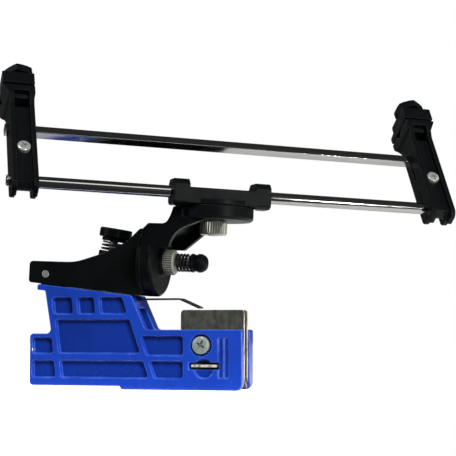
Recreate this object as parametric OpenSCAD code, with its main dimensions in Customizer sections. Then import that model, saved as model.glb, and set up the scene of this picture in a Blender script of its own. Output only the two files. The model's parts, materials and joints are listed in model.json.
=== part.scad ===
// Bar-mount chainsaw sharpener: a filing guide that clamps on the guide bar of a saw.
// The origin is on the clamp screw's axis, on the middle plane of the bar slot.
// X runs along the bar, Y to the back and Z up. All sizes are in millimetres and degrees.

/* [Bar slot and jaws] */
// Opening between the jaw plates at rest
bar_gap = 4.6; // [4.2:0.1:6]
// Thickness of each jaw plate
plate_t = 1.3; // [1:0.1:1.8]
// Room behind the moving plate, for opening the jaw
jaw_room = 2.8; // [2.6:0.1:3.6]
// Left end of the jaw plates, from the clamp screw
plate_left = 13.6; // [11:0.1:16]
// Right end of the jaw plates, from the clamp screw
plate_right = 21.2; // [18:0.1:21.5]
// Top of the jaw plates above the clamp screw
plate_top = 18.6; // [14:0.1:18.8]
// Bottom of the jaw plates below the clamp screw
plate_bottom = 19; // [16:0.1:20]
// Length of the fixed plate's flared lip
lip_len = 4; // [2:0.1:5]
// Width of the moving plate's guide tab
tab_w = 13.7; // [10:0.1:15]
// Guide tab's middle, right of the clamp screw
tab_x = 1.35; // [0:0.05:2]
// Guide tab's middle below the clamp screw
tab_drop = 10.7; // [9.5:0.1:12]

/* [Base casting] */
// Front face to the slot's middle plane
base_front = 11.5; // [10.5:0.1:14]
// Back face to the slot's middle plane
base_back = 11.5; // [10.5:0.1:14]
// Left end of the casting, from the clamp screw
base_left = 96.5; // [94:0.5:105]
// Right end of the casting, from the clamp screw
base_right = 22; // [21.6:0.1:26]
// Top of the left foot
foot_top = 6.1; // [4:0.1:8]
// Bottom of the left foot, below the clamp screw
foot_bottom = 21.5; // [20:0.1:23]
// Top of the clamp block
block_top = 8.1; // [7:0.1:10]
// Bottom of the clamp block, below the clamp screw
block_bottom = 23.3; // [22:0.1:26]
// Step in the underside, left of the clamp screw
step_x = 45; // [40:0.5:50]
// Roof of the bar and chain tunnel
roof_z = 19.5; // [18.9:0.1:20.5]
// Left edge of the tower at the foot's top
tower_left = 84.1; // [82:0.1:86]
// Right edge of the tower at the block's top
tower_right = 30.6; // [29:0.1:32]
// Lean of the tower's left edge, in mm a mm
left_lean = 0.122; // [0.1:0.002:0.14]
// Depth of the ribbed pockets
pocket_d = 2.6; // [1.5:0.1:3.2]
// Width of the ribs between the pockets
rib_w = 3.2; // [2.4:0.1:4]
// Radius of the pockets' corners
pocket_r = 1.5; // [0.8:0.1:2]
// Radius of the clamp screw's counterbore
cbore_r = 5.7; // [5.2:0.1:6.2]
// Depth of the clamp screw's counterbore
cbore_d = 2.6; // [2:0.1:3]

/* [Hinge arm] */
// Hinge pin's place left of the clamp screw
pin_left = 87.9; // [86:0.1:90]
// Hinge pin's height above the clamp screw
pin_z = 38.1; // [36:0.1:41]
// Radius of the hinge pin
pin_r = 2; // [1.5:0.05:2.2]
// Tilt of the arm at rest, right end down
arm_tilt = 2.5; // [1:0.1:4]
// Width of the arm across its cheeks
arm_w = 22; // [21:0.5:26]
// Thickness of the arm's cheeks
cheek_t = 3; // [2:0.1:3.5]
// Thickness of the arm's roof
roof_t = 2.2; // [1.8:0.1:2.5]
// Arm's tail beyond the hinge pin
arm_tail = 9.8; // [9:0.1:12]
// Arm's roof above the hinge pin at the tail
tail_top = 6.95; // [6.8:0.05:8]
// Arm's underside below the hinge pin at the tail
tail_drop = 4.1; // [3.5:0.1:5]
// Taper of the arm's underside
arm_taper = 4.56; // [4:0.02:5]
// Gap between the arm and the casting's top
arm_gap = 0.9; // [0.7:0.1:1.5]
// Radius of the tilt discs on the arm and the elbow
disc_r = 18.5; // [17.5:0.1:18.6]
// Thickness of the arm's disc
flange_t = 2.4; // [2:0.1:4]
// Meeting plane of the tilt discs, from the hinge pin
mate_x = 56.5; // [56:0.1:58]
// Tilt axis above the hinge pin
tilt_z = 8.75; // [8.7:0.05:10]

/* [Height adjuster] */
// Knob's top centre, right of the hinge pin
knob_x = 35.5; // [34.5:0.1:36]
// Knob's top centre, above the hinge pin
knob_z = 26; // [25:0.1:28]
// Lean of the height screw
screw_lean = 7.5; // [6:0.1:9]
// Radius of the knob's rim
knob_r = 8.7; // [7.5:0.1:8.8]
// Height of the knob's rim
knob_h = 5.1; // [4.4:0.1:6]
// Radius of the knob's hub
hub_r = 6.8; // [5.8:0.1:7.2]
// Height of the knob's hub
hub_h = 2; // [1.5:0.1:2.5]
// Radius of the height screw
height_r = 2.5; // [2:0.1:2.8]
// Length of the anti-rattle spring
height_spring_l = 5.4; // [5:0.1:6.2]
// Curls of the anti-rattle spring
height_curls = 2.25; // [2:0.125:2.5]

/* [Tilt clamp] */
// Thickness of the elbow's tilt disc
disc_t = 5.8; // [5:0.1:6.4]
// Radius of the tilt stud
stud_r = 3; // [2.5:0.1:3.2]
// Radius of the knurled tilt nut
tilt_nut_r = 6.75; // [6:0.05:7.5]
// Length of the knurled tilt nut
tilt_nut_l = 5.9; // [5:0.1:7.5]
// Length of the stop spring
stop_spring_l = 8.55; // [8:0.05:10]
// Curls of the stop spring
stop_curls = 4; // [3:0.25:5]
// Radius of the domed stop cap
cap_r = 5; // [4.8:0.1:5.5]
// Length of the domed stop cap
cap_l = 9.4; // [8.5:0.1:10]

/* [Elbow and swivel] */
// Swivel axis from the tilt discs' meeting plane
swivel_x = 33.6; // [33:0.1:35]
// Top of the swivel disc above the tilt axis
disc_top = 29.8; // [29.4:0.1:31]
// Thickness of the swivel disc
swivel_t = 7.2; // [7:0.1:9.2]
// Radius of the swivel disc
swivel_r = 21; // [20:0.1:21.4]
// Half width of the elbow's neck
neck_half = 18.5; // [17:0.1:18.6]
// Thickness of the neck's side ribs
neck_rib = 4; // [3:0.1:4.5]
// Neck's shoulder above the tilt axis
shoulder_z = 19.6; // [19:0.1:20]
// Neck's shoulder from the tilt discs' meeting plane
shoulder_x = 13.2; // [12.6:0.1:13.6]
// Side of the neck's hollow, from the tilt discs' meeting plane
hollow_x = 15; // [14:0.1:15.4]
// Corner of the neck's hollow above the tilt axis
hollow_z = 15.1; // [14.4:0.1:15.4]
// Slope of the hollow under the swivel disc
hollow_lean = 20.4; // [18:0.1:22]
// Radius of the hollow's corner
hollow_r = 13.5; // [10:0.1:14]
// Radius of the knurled swivel nut
swivel_nut_r = 7.3; // [6.5:0.05:7.8]
// Height of the knurled swivel nut
swivel_nut_l = 7.2; // [5:0.1:7.4]
// Radius of the swivel bolt
bolt_r = 3; // [2.5:0.1:3.2]
// Turn of the carriage at rest
swivel_rest = 32.3; // [30:0.1:60]

/* [Carriage] */
// Guide rod's distance in front of the swivel axis
rod_front = 10; // [9.8:0.1:10.4]
// Guide rod's height above the swivel disc
rod_z = 6.05; // [5.8:0.05:7]
// Inner faces of the ears from the middle
ear_in = 17.7; // [17:0.1:18.5]
// Width of each ear
ear_w = 8.5; // [7:0.1:10]
// Depth of each ear
ear_d = 14; // [13.4:0.1:14.4]
// Ear's reach above and below the guide rod
ear_h = 6.8; // [6:0.1:7]
// Top of the walls between the ears, above the swivel disc
trough_top = 8.6; // [7.5:0.1:9]
// Thickness of the carriage's round plate
plate_h = 3; // [2.6:0.1:3.2]

/* [Rods] */
// Radius of the guide rod
rod_r = 3.175; // [3:0.025:3.3]
// Side of the square spacer bar
bar_side = 4.76; // [4.4:0.02:5]
// Distance between the guide rod and the spacer bar
rod_spacing = 35.2; // [34:0.1:37]
// Clear span between the end arms
span = 213.2; // [200:0.1:230]
// Length of the rods beyond the end arms
rod_stick = 2; // [0.5:0.1:4]
// Shift of the file frame along the rod at rest
frame_shift = 10.5; // [0:0.1:20]
// Lean of the file frame to the back at rest
roll_rest = 37.2; // [30:0.1:45]

/* [End arms] */
// Width of each end arm
end_w = 13.2; // [12:0.1:14]
// Thickness of the side flanges
flange_w = 2.6; // [2:0.1:3]
// Front of the end arms, from the rods' plane
end_front = 8.2; // [7.5:0.1:9]
// Back of the end arms, from the rods' plane
end_back = 7; // [6.6:0.1:8]
// Depth of the front channel
channel_d = 2.7; // [2.4:0.1:3]
// Front prongs below the guide rod
prong = 10; // [9:0.1:12]
// Back prongs below the guide rod
back_prong = 6.9; // [6.4:0.1:8]
// Top of the rear clamp plate, from the guide rod
clamp_top = 43.5; // [42.5:0.1:45]
// Pinch screw's place, from the guide rod
pinch_t = 18; // [16:0.05:18.5]
// Radius of the pinch screws
pinch_r = 2; // [1.5:0.1:2.2]
// Width of the slit beside the rods
slit_w = 0.8; // [0.5:0.1:1.2]

/* [File clamps] */
// File slot's place, from the guide rod
slot_t = 60; // [59:0.1:62]
// Clamp head's reach to the inside, from the end arm's middle
head_in = 7.2; // [7:0.1:8.5]
// Clamp head's reach to the outside, from the end arm's middle
head_out = 9.8; // [8:0.1:10.5]
// Front of the clamp head, from the rods' plane
head_front = 9.8; // [9:0.1:11]
// Back of the clamp head, from the rods' plane
head_back = 13; // [12:0.1:14]
// Middle of the file's groove, behind the rods' plane
groove_v = 3.2; // [3:0.1:4]
// Half width of the file's groove
groove_half = 3; // [2.4:0.1:3.1]
// Height of the file jaw
jaw_h = 8.7; // [8:0.1:11]
// Clamp bolt's place in front of the rods' plane
clamp_front = 3; // [2.9:0.1:3.6]
// Radius of the file clamp bolts
clamp_r = 2; // [1.8:0.1:2.2]
// Side of the clamp bolt's square head
head_side = 7.6; // [7:0.1:7.7]
// Corner radius of the hexagonal knobs
hex_r = 8.5; // [7.5:0.1:9]
// Height of the hexagonal knobs
hex_h = 4.6; // [4.4:0.1:6]
// Turn of the left and right knobs at rest
hex_turn = [-15, 3]; // [-30:1:30]

/* [Chain stop] */
// Thickness of the chain stop strip
strip_t = 0.9; // [0.6:0.1:1]
// Width of the chain stop strip
strip_w = 8; // [6:0.1:9]
// Top of the strip above the clamp screw
strip_top = 24.75; // [24.6:0.05:24.9]
// Left end of the strip, from the clamp screw
strip_left = 51; // [49:0.1:52]
// Bend of the strip, left of the clamp screw
strip_bend = 14.4; // [12:0.1:16]
// Tip of the strip, left of the clamp screw
strip_tip = 3.6; // [2:0.1:5]
// Screw of the strip, left of the clamp screw
strip_screw = 46.5; // [46:0.1:47.5]

/* [Clearances] */
// Running fit of shafts and threads, on the radius
fit = 0.05; // [0.02:0.01:0.08]
// Gap between parts that move past each other
clear = 0.3; // [0.25:0.05:0.4]

/* [Hidden] */
$fn = 64;

// Colours of the finishes
blue = [0.09, 0.20, 0.62];
black = [0.10, 0.11, 0.12];
zinc = [0.66, 0.64, 0.58];
chrome = [0.80, 0.81, 0.83];
plate_grey = [0.48, 0.48, 0.44];

// Cutting tools reach this far past a face
past = 1;
// Length that is beyond the whole object
far = 300;
// Steps of each rounded corner
arc_steps = 5;

// Jaw and slot planes
slot_front = -(bar_gap / 2 + plate_t + jaw_room);
slot_back = bar_gap / 2 + plate_t;
clamp_r_screw = 2.9;
clamp_head_r = 4.6;
clamp_head_h = 3.2;
clamp_head_up = 0.9;
clamp_tip = -(bar_gap / 2 + plate_t + 0.1);
cbore_y = -base_front + cbore_d;
lip_room = lip_len + 0.45;
tab_slot_w = tab_w + 2.2;
tab_slot_h = 3.6;
tab_relief_r = 5.1;
rivet_x = [-8, 13];
rivet_z = 3;
rivet_r = 1.6;
rivet_head_r = 3;
rivet_head_h = 1;

// Arm profile, right of the hinge pin and above it
pin_x = -pin_left;
inner_half = arm_w / 2 - cheek_t;
arm_end = mate_x - clear;
bulkhead = 3.2;
cavity_end = arm_end - flange_t - bulkhead;
lug_r = tail_top - roof_t - 0.55;
lug_half = inner_half - 0.4;
arm_blend = 30;
arm_rise = [[16.7, tail_top], [33.1, tail_top + 5.45], [45.3, tail_top + 11.4], [arm_end, tilt_z + 20]];
tower_from = -4.4;
tower_to = 49.7;
nub_t = 3.3;
nub_reach = 4.6;

// Height screw, measured down from the knob's top along its lean
knob_bottom = knob_h + hub_h;
seat_down = knob_bottom + height_spring_l;
seat_r = hub_r + 0.6;
foot_back = 4.5;
boss_len = 9;
thread_up = 4.6;

// Chain stop heights
strip_z = strip_top - strip_t;
strip_tip_z = plate_top + 0.5;
ledge_gap = 0.15;
strip_screw_r = 1.5;
strip_head_r = 2.8;
strip_head_h = 1.2;

// Tilt clamp, measured along the tilt axis from the discs' meeting plane
tilt_boss_r = tilt_nut_r + 0.7;
tilt_boss_x = disc_t + 1.6;
tilt_nut_x = tilt_boss_x + clear;
stop_x = tilt_nut_x + tilt_nut_l + 0.1;
cap_x = stop_x + stop_spring_l + 0.1;
stud_end = cap_x + 4.2;
cap_bore = 7.5;
stud_head = 10;
stud_head_t = 3.5;

// Swivel, measured from the top of the swivel disc
disc_bottom = disc_top - swivel_t;
swivel_nut_z = -swivel_t - clear;
bolt_end = swivel_nut_z - swivel_nut_l - 0.4;
ear_out = ear_in + ear_w;
bolt_head_r = 5;
bolt_head_h = 2.8;

// Elbow's neck: its lower edge clears the tilt nut and its top clears the ears
neck_low = tilt_nut_r + 0.55;
neck_top = disc_top + rod_z - ear_h - 2 * clear;
neck_x = swivel_x - swivel_r + 4.2;
web_low = 12;
rib_end = swivel_x + 2.4;
gusset_x = 12.6;
gusset_z = 7;
gusset_lean = 39.7;
notch_w = 2.8;
notch_d = 1;
notch_h = 4;
disc_edge = 1.2;

// File frame
half_span = span / 2;
end_mid = half_span + end_w / 2;
rod_half = half_span + end_w + rod_stick;
parting = 0.3;
web_front = -end_front + channel_d;
pocket_low = slot_t - 12.4;
pocket_top = slot_t - 4;
head_low = slot_t - 6;
channel_w = end_w - 2 * flange_w;
pinch_head_r = 3.5;
ring_t = 1.7;
flare_low = slot_t - 8.6;
flare_top = slot_t - 1;
nut_r = 4;
nut_room = 0.2;
nut_h = 3.2;
nut_deep = 2.4;
jaw_gap = 1.3;
jaw_low = slot_t + jaw_gap;
jaw_top = jaw_low + jaw_h;
knob_low = jaw_top + clear;
bolt_top = knob_low + 3.6;

// Places in the casting's frame of a point given in the arm's frame
function arm_pt(x, z) = [pin_x + x * cos(arm_tilt) + z * sin(arm_tilt),
                         pin_z - x * sin(arm_tilt) + z * cos(arm_tilt)];
function under_z(x) = -tail_drop - (x + arm_tail) * tan(arm_taper);
function tower_pt(x) = arm_pt(x, under_z(x) - arm_gap);

// Slanted edges of the casting at the height z
function left_x(z) = -tower_left - left_lean * (z - foot_top);
function rib_x(z) = -tower_right - 7.6 + 0.36 * (block_top + 5.3 - z);

// Outline with rounded corners: each point is [x, y, radius]
function unit(v) = v / norm(v);
function flat(p) = [p[0], p[1]];
function corner(a, b, c) =
    let (u = unit(flat(a) - flat(b)), w = unit(flat(c) - flat(b)),
         half = acos(max(-1, min(1, u * w))) / 2,
         room = 0.48 * min(norm(flat(a) - flat(b)), norm(flat(c) - flat(b))),
         r = min(b[2], room * tan(half)))
    r <= 0 ? [flat(b)] :
    let (mid = flat(b) + unit(u + w) * r / sin(half),
         s = flat(b) + u * r / tan(half) - mid,
         e = flat(b) + w * r / tan(half) - mid,
         from = atan2(s[1], s[0]),
         turn = atan2(s[0] * e[1] - s[1] * e[0], s * e))
    [for (k = [0 : arc_steps]) let (a = from + turn * k / arc_steps) mid + r * [cos(a), sin(a)]];
function rounded(pts) =
    let (n = len(pts))
    [for (i = [0 : n - 1]) each corner(pts[(i + n - 1) % n], pts[i], pts[(i + 1) % n])];
function with_r(p, r) = [p[0], p[1], r];

// Helical spring along Z: straight ends of one wire diameter and a steady rise between them
function spring_path(r, wire, len, curls) =
    let (n = round(curls * 8), low = 2 * wire, rise = len - 4 * wire)
    concat([[r, 0, 0]],
           [for (k = [0 : n]) let (a = 360 * curls * k / n) [r * cos(a), r * sin(a), low + rise * k / n]],
           [[r * cos(360 * curls), r * sin(360 * curls), len]]);
function least_gap(path, wire) =
    min([for (i = [0 : len(path) - 6]) for (j = [i + 5 : len(path) - 1]) norm(path[i] - path[j]) - 2 * wire]);
function spring_ring(path, wire, i) =
    let (t = unit(path[min(i + 1, len(path) - 1)] - path[max(i - 1, 0)]),
         out = [path[i][0], path[i][1], 0],
         n = unit(out - (out * t) * t), b = cross(t, n))
    [for (k = [0 : 5]) path[i] + wire * (cos(60 * k) * n + sin(60 * k) * b)];

// Frames of the moving groups
module in_arm() { translate([pin_x, 0, pin_z]) rotate([0, arm_tilt, 0]) children(); }
module in_elbow() { in_arm() translate([mate_x, 0, tilt_z]) children(); }
module in_carriage() { in_elbow() translate([swivel_x, 0, disc_top]) rotate([0, 0, swivel_rest]) children(); }
module in_rod() { in_carriage() translate([frame_shift, -rod_front, rod_z]) children(); }
module in_frame() { in_rod() rotate([-roll_rest, 0, 0]) children(); }
module in_screw() { in_arm() translate([knob_x, 0, knob_z]) rotate([0, screw_lean, 0]) children(); }

// Solid from an XZ outline, between two Y planes
module slab(y0, y1) { translate([0, y1, 0]) rotate([90, 0, 0]) linear_extrude(y1 - y0) children(); }
// Solid from a YZ outline, between two X planes
module bar(x0, x1) { translate([x0, 0, 0]) rotate([90, 0, 90]) linear_extrude(x1 - x0) children(); }
// Round rods along X and Y
module rod_x(r, x0, x1) { translate([x0, 0, 0]) rotate([0, 90, 0]) cylinder(h = x1 - x0, r = r); }
module rod_y(r, y0, y1) { translate([0, y0, 0]) rotate([-90, 0, 0]) cylinder(h = y1 - y0, r = r); }
module rod_z(r, z0, z1) { translate([0, 0, z0]) cylinder(h = z1 - z0, r = r); }

module spring(r, wire, len, curls) {
    path = spring_path(r, wire, len, curls);
    n = len(path);
    echo(spring_gap = least_gap(path, wire));
    polyhedron(
        [for (i = [0 : n - 1]) each spring_ring(path, wire, i)],
        concat(
            [for (i = [0 : n - 2]) for (k = [0 : 5]) each
                let (a = 6 * i + k, b = 6 * i + (k + 1) % 6) [[a, a + 6, b + 6], [a, b + 6, b]]],
            [for (k = [1 : 4]) [0, k, k + 1]],
            [for (k = [1 : 4]) [6 * n - 6, 6 * n - 6 + k + 1, 6 * n - 6 + k]]));
}

// Base casting
module casting_outline() {
    r = tower_pt(tower_to);
    l = tower_pt(tower_from);
    polygon(rounded([
        [-base_left, -foot_bottom, 2],
        [-step_x, -foot_bottom, 1],
        [-step_x + 1.3, -block_bottom, 1],
        [base_right, -block_bottom, 3.5],
        [base_right, block_top, 1.2],
        [-tower_right, block_top, 2.5],
        with_r(r, 1.5),
        with_r(l, 1.2),
        [l[0], l[1] - nub_t, 0.8],
        [l[0] + nub_reach, l[1] - nub_t - 0.4, 1.2],
        [left_x(foot_top), foot_top, 2.5],
        [-base_left, foot_top, 2]]));
}

// Pocket between two heights, with a left and a right side at each height
module pocket(z0, z1, l0, r0, l1, r1) {
    polygon(rounded([[l0, z0, pocket_r], [r0, z0, pocket_r], [r1, z1, pocket_r], [l1, z1, pocket_r]]));
}

module face_pockets() {
    rib = rib_w;
    half = rib_w / 2;
    rows = [[-block_bottom + 6, -block_bottom + 15], [-4.4, block_top + 5.3], [roof_z - 3, roof_z + 5.8]];
    feet = [rows[0], [-4.6, foot_top - 2.2]];
    blocks = [rows[0], [-5.4, block_top - 3.3]];
    for (z = feet)
        pocket(z[0], z[1], -base_left + 1.6, left_x(z[0]) - 0.2, -base_left + 1.6, left_x(z[1]) - 0.2);
    for (z = [rows[0], rows[1]])
        pocket(z[0], z[1], left_x(z[0]) + rib, rib_x(z[0]) - half, left_x(z[1]) + rib, rib_x(z[1]) - half);
    for (z = blocks)
        pocket(z[0], z[1], rib_x(z[0]) + half, -10, rib_x(z[1]) + half, -10);
    cells = [0, 14.2, 27, 42];
    z = rows[2];
    for (i = [0 : 1])
        pocket(z[0], z[1], left_x(z[0]) + 2.6 + cells[i], left_x(z[0]) + 2.6 + cells[i + 1] - rib,
               left_x(z[1]) + 2.6 + cells[i], left_x(z[1]) + 2.6 + cells[i + 1] - rib);
    pocket(z[0], z[1], left_x(z[0]) + 2.6 + cells[2], rib_x(z[0]) - half,
           left_x(z[1]) + 2.6 + cells[2], rib_x(z[1]) - half);
}

module clamp_pad_cuts() {
    rod_y(clamp_r_screw + fit, -base_front - past, slot_front + past);
    rod_y(cbore_r, -base_front - past, cbore_y);
    translate([tab_x - tab_slot_w / 2, -base_front - past, -tab_drop - tab_slot_h / 2])
        cube([tab_slot_w, base_front + past + slot_front + past, tab_slot_h]);
    translate([tab_x, 0, -tab_drop - 1.4])
        rod_y(tab_relief_r, -base_front - past, -base_front + 2);
    for (x = [10.4, 13.6])
        slab(-base_front - past, -base_front + 0.9)
            polygon(rounded([[x - 1.1, -17, 0.8], [x + 1.1, -17, 0.8],
                             [x + 1.1, block_top - 4.4, 0.8], [x - 1.1, block_top - 4.4, 0.8]]));
}

module base_casting() {
    ledge = [-strip_left - 1.5, -tower_right];
    color(blue) difference() {
        union() {
            slab(-base_front, base_back) casting_outline();
            slab(-lug_half, lug_half) {
                translate([pin_x, pin_z]) circle(lug_r);
                translate([pin_x - lug_r, tower_pt(0)[1] - past])
                    square([2 * lug_r, pin_z - tower_pt(0)[1] + past]);
            }
        }
        translate([-far, slot_front, -far]) cube([2 * far, slot_back - slot_front, far + roof_z]);
        translate([0, slot_back, -block_bottom]) bar(-plate_left - past, far)
            polygon([[-past, -past], [lip_room + past, -past], [-past, lip_room + past]]);
        slab(-base_front - past, -base_front + pocket_d) face_pockets();
        slab(base_back - pocket_d, base_back + past) face_pockets();
        clamp_pad_cuts();
        for (x = rivet_x) translate([x, 0, rivet_z]) rod_y(rivet_r + fit, slot_back - past, base_back + past);
        translate([pin_x, 0, pin_z]) rod_y(pin_r + fit / 2, -far, far);
        translate([ledge[0], -strip_w / 2 - 0.6, strip_z - ledge_gap])
            cube([ledge[1] - ledge[0], strip_w + 1.2, far]);
        translate([-strip_screw, 0, 0]) rod_z(strip_screw_r + fit, roof_z - past, far);
    }
}

module hinge_pin() {
    color(zinc) translate([pin_x, 0, pin_z]) rod_y(pin_r, -arm_w / 2 - 0.4, arm_w / 2 + 0.4);
}

// Jaw plates
module plate_outline(low) {
    polygon(rounded([[-plate_left, -low, 1], [plate_right, -low, 1],
                     [plate_right, plate_top, 1.5], [-plate_left, plate_top, 2]]));
}

module fixed_jaw_plate() {
    lip_start = -block_bottom + lip_len + 0.2;
    color(plate_grey) difference() {
        union() {
            slab(bar_gap / 2, bar_gap / 2 + plate_t) plate_outline(-lip_start);
            translate([0, bar_gap / 2, lip_start]) bar(-plate_left + past, plate_right - past)
                polygon([[0, 0], [plate_t, 0], [plate_t + lip_len * 0.6, -lip_len * 0.6],
                         [lip_len * 0.6 + 0.4, -lip_len * 0.6 - plate_t * 0.7], [0, -plate_t * 0.4]]);
        }
        for (x = rivet_x) translate([x, 0, rivet_z]) rod_y(rivet_r + fit, -far, far);
    }
}

module jaw_rivets() {
    color(zinc) for (x = rivet_x) translate([x, 0, rivet_z]) {
        rod_y(rivet_r, bar_gap / 2 + 0.2, base_back + rivet_head_h);
        rod_y(rivet_head_r, base_back, base_back + rivet_head_h);
    }
}

module moving_jaw_plate() {
    front = -bar_gap / 2 - plate_t;
    color(plate_grey) union() {
        slab(front, -bar_gap / 2) plate_outline(plate_bottom);
        translate([tab_x - tab_w / 2, -base_front + 0.8, -tab_drop - plate_t / 2])
            cube([tab_w, front + base_front - 0.8 + 0.5, plate_t]);
    }
}

module clamp_screw() {
    under = cbore_y - clamp_head_up;
    color(zinc) union() {
        rod_y(clamp_r_screw, under, clamp_tip);
        rod_y(clamp_head_r, under - clamp_head_h + 0.8, under);
        translate([0, under - clamp_head_h + 0.8, 0]) rotate([90, 0, 0])
            cylinder(h = 0.8, r1 = clamp_head_r, r2 = clamp_head_r - 1.1);
    }
}

// Chain stop
module chain_stop() {
    drop = strip_z - strip_tip_z;
    run = strip_bend - strip_tip;
    lean = unit([run, -drop]);
    up = [-lean[1], lean[0]] * strip_t;
    tip = [-strip_tip, strip_tip_z];
    color(zinc) difference() {
        slab(-strip_w / 2, strip_w / 2) polygon(rounded([
            [-strip_left, strip_z, 0], with_r([-strip_bend, strip_z], 2), with_r(tip, 0),
            with_r(tip + up, 0), [-strip_bend + 0.25, strip_z + strip_t, 3],
            [-strip_left, strip_z + strip_t, 0]]));
        translate([-strip_screw, 0, 0]) rod_z(strip_screw_r + ledge_gap, 0, far);
    }
}

module chain_stop_screw() {
    top = strip_top + ledge_gap;
    color(zinc) translate([-strip_screw, 0, 0]) union() {
        rod_z(strip_screw_r, roof_z + clear, top);
        rod_z(strip_head_r, top, top + strip_head_h);
    }
}

// Hinge arm
module arm_outline(lower, tail, from_top, end) {
    polygon(rounded(concat(
        [[-tail, under_z(-tail) - lower, 1.5], [-tail, tail_top - from_top, 2]],
        [for (i = [0 : 2]) [arm_rise[i][0] + from_top * 0.25, arm_rise[i][1] - from_top, arm_blend]],
        [[end, arm_rise[3][1] - from_top, 2], [end, under_z(end) - lower, 2]])));
}

module hinge_arm() {
    color(black) difference() {
        union() {
            in_arm() difference() {
                union() {
                    slab(-arm_w / 2, arm_w / 2) arm_outline(0, arm_tail, 0, arm_end - 0.6);
                    translate([0, 0, tilt_z]) rod_x(disc_r, arm_end - flange_t, arm_end);
                }
                slab(-inner_half, inner_half)
                    arm_outline(2 * disc_r, arm_tail - roof_t, roof_t, cavity_end);
            }
            in_screw() rod_z(seat_r, -seat_down - boss_len, -seat_down);
        }
        in_arm() {
            rod_y(pin_r + fit, -far, far);
            translate([0, 0, tilt_z]) rod_x(stud_r + fit, cavity_end - past, arm_end + past);
        }
        in_screw() {
            rod_z(height_r + fit, -far / 2, far / 2);
            rod_z(knob_r + 0.7, -seat_down, far / 2);
        }
    }
}

module height_screw() {
    tip_z = under_z(knob_x - foot_back) - arm_gap + clear;
    tip = (knob_z - tip_z) / cos(screw_lean);
    color(zinc) in_screw() union() {
        rod_z(height_r, -tip + 1.2, -knob_bottom + thread_up);
        translate([0, 0, -tip]) cylinder(h = 1.2, r1 = 1.2, r2 = height_r);
    }
}

module height_knob() {
    color(black) in_screw() difference() {
        union() {
            translate([0, 0, -knob_h]) rotate_extrude() polygon(rounded([
                [0, 0, 0], [knob_r, 0, 0.7], [knob_r, knob_h, 0.9], [knob_r - 2.2, knob_h, 0.4],
                [knob_r - 2.8, knob_h - 0.5, 0.3], [0, knob_h - 0.5, 0]]));
            rod_z(hub_r, -knob_bottom, -knob_h);
        }
        rod_z(height_r + fit, -knob_bottom - past, -knob_bottom + thread_up + 0.3);
    }
}

module height_spring() {
    color(black) in_screw() translate([0, 0, -seat_down + 0.05])
        spring(hub_r - 0.6, 0.5, height_spring_l - 0.1, height_curls);
}

// Tilt clamp
module tilt_stud() {
    back = cavity_end - mate_x;
    color(zinc) in_elbow() union() {
        rod_x(stud_r, back, stud_end);
        translate([back - stud_head_t, -stud_head / 2, -stud_head / 2])
            cube([stud_head_t, stud_head, stud_head]);
    }
}

module tilt_nut() {
    c = 0.9;
    color(zinc) in_elbow() rotate([0, 90, 0]) rotate_extrude() polygon([
        [stud_r + fit, tilt_nut_x], [tilt_nut_r - c, tilt_nut_x], [tilt_nut_r, tilt_nut_x + c],
        [tilt_nut_r, tilt_nut_x + tilt_nut_l - c], [tilt_nut_r - c, tilt_nut_x + tilt_nut_l],
        [stud_r + fit, tilt_nut_x + tilt_nut_l]]);
}

module stop_spring() {
    color(black) in_elbow() translate([stop_x, 0, 0]) rotate([0, 90, 0])
        spring(cap_r - 0.6, 0.55, stop_spring_l, stop_curls);
}

module stop_cap() {
    dome = 3.6;
    groove = 0.5;
    color(black) in_elbow() translate([cap_x, 0, 0]) rotate([0, 90, 0]) difference() {
        rotate_extrude() polygon(rounded([
            [0, 0, 0], [cap_r, 0, 0.5], [cap_r, 1.4, 0.3], [cap_r - groove, 1.8, 0.3],
            [cap_r - groove, 3.6, 0.3], [cap_r, 4, 0.3], [cap_r, cap_l - dome, 3],
            [cap_r * 0.72, cap_l - 1, 2.5], [0, cap_l, 0]]));
        rod_z(stud_r + fit, -past, cap_bore);
    }
}

// Elbow bracket
function neck_back() = [[1, shoulder_z, 0], [shoulder_x, shoulder_z, 5],
                        [shoulder_x + 2.2, (shoulder_z + neck_top) / 2, 8], [neck_x, neck_top, 0]];

module web_outline() {
    polygon(rounded(concat([[1, web_low, 0]], neck_back(), [
        [neck_x + 5.2, neck_top, 0], [neck_x + 2.7, disc_bottom - 0.5, 6],
        [shoulder_x + 2, shoulder_z - 3.6, 4], [disc_t - 0.5, web_low, 0]])));
}

// Each rib is hollowed below by a side, a corner and a slope
module rib_outline(side, corner_z, corner_r, lean) {
    difference() {
        polygon(rounded(concat([[1, neck_low, 0]], neck_back(),
                               [[rib_end, neck_top, 0], [rib_end, neck_low, 0]])));
        polygon(rounded([[side, -far, 0], [side, corner_z, corner_r],
                         [side + far, corner_z + far * tan(lean), 0], [side + far, -far, 0]]));
    }
}

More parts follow.
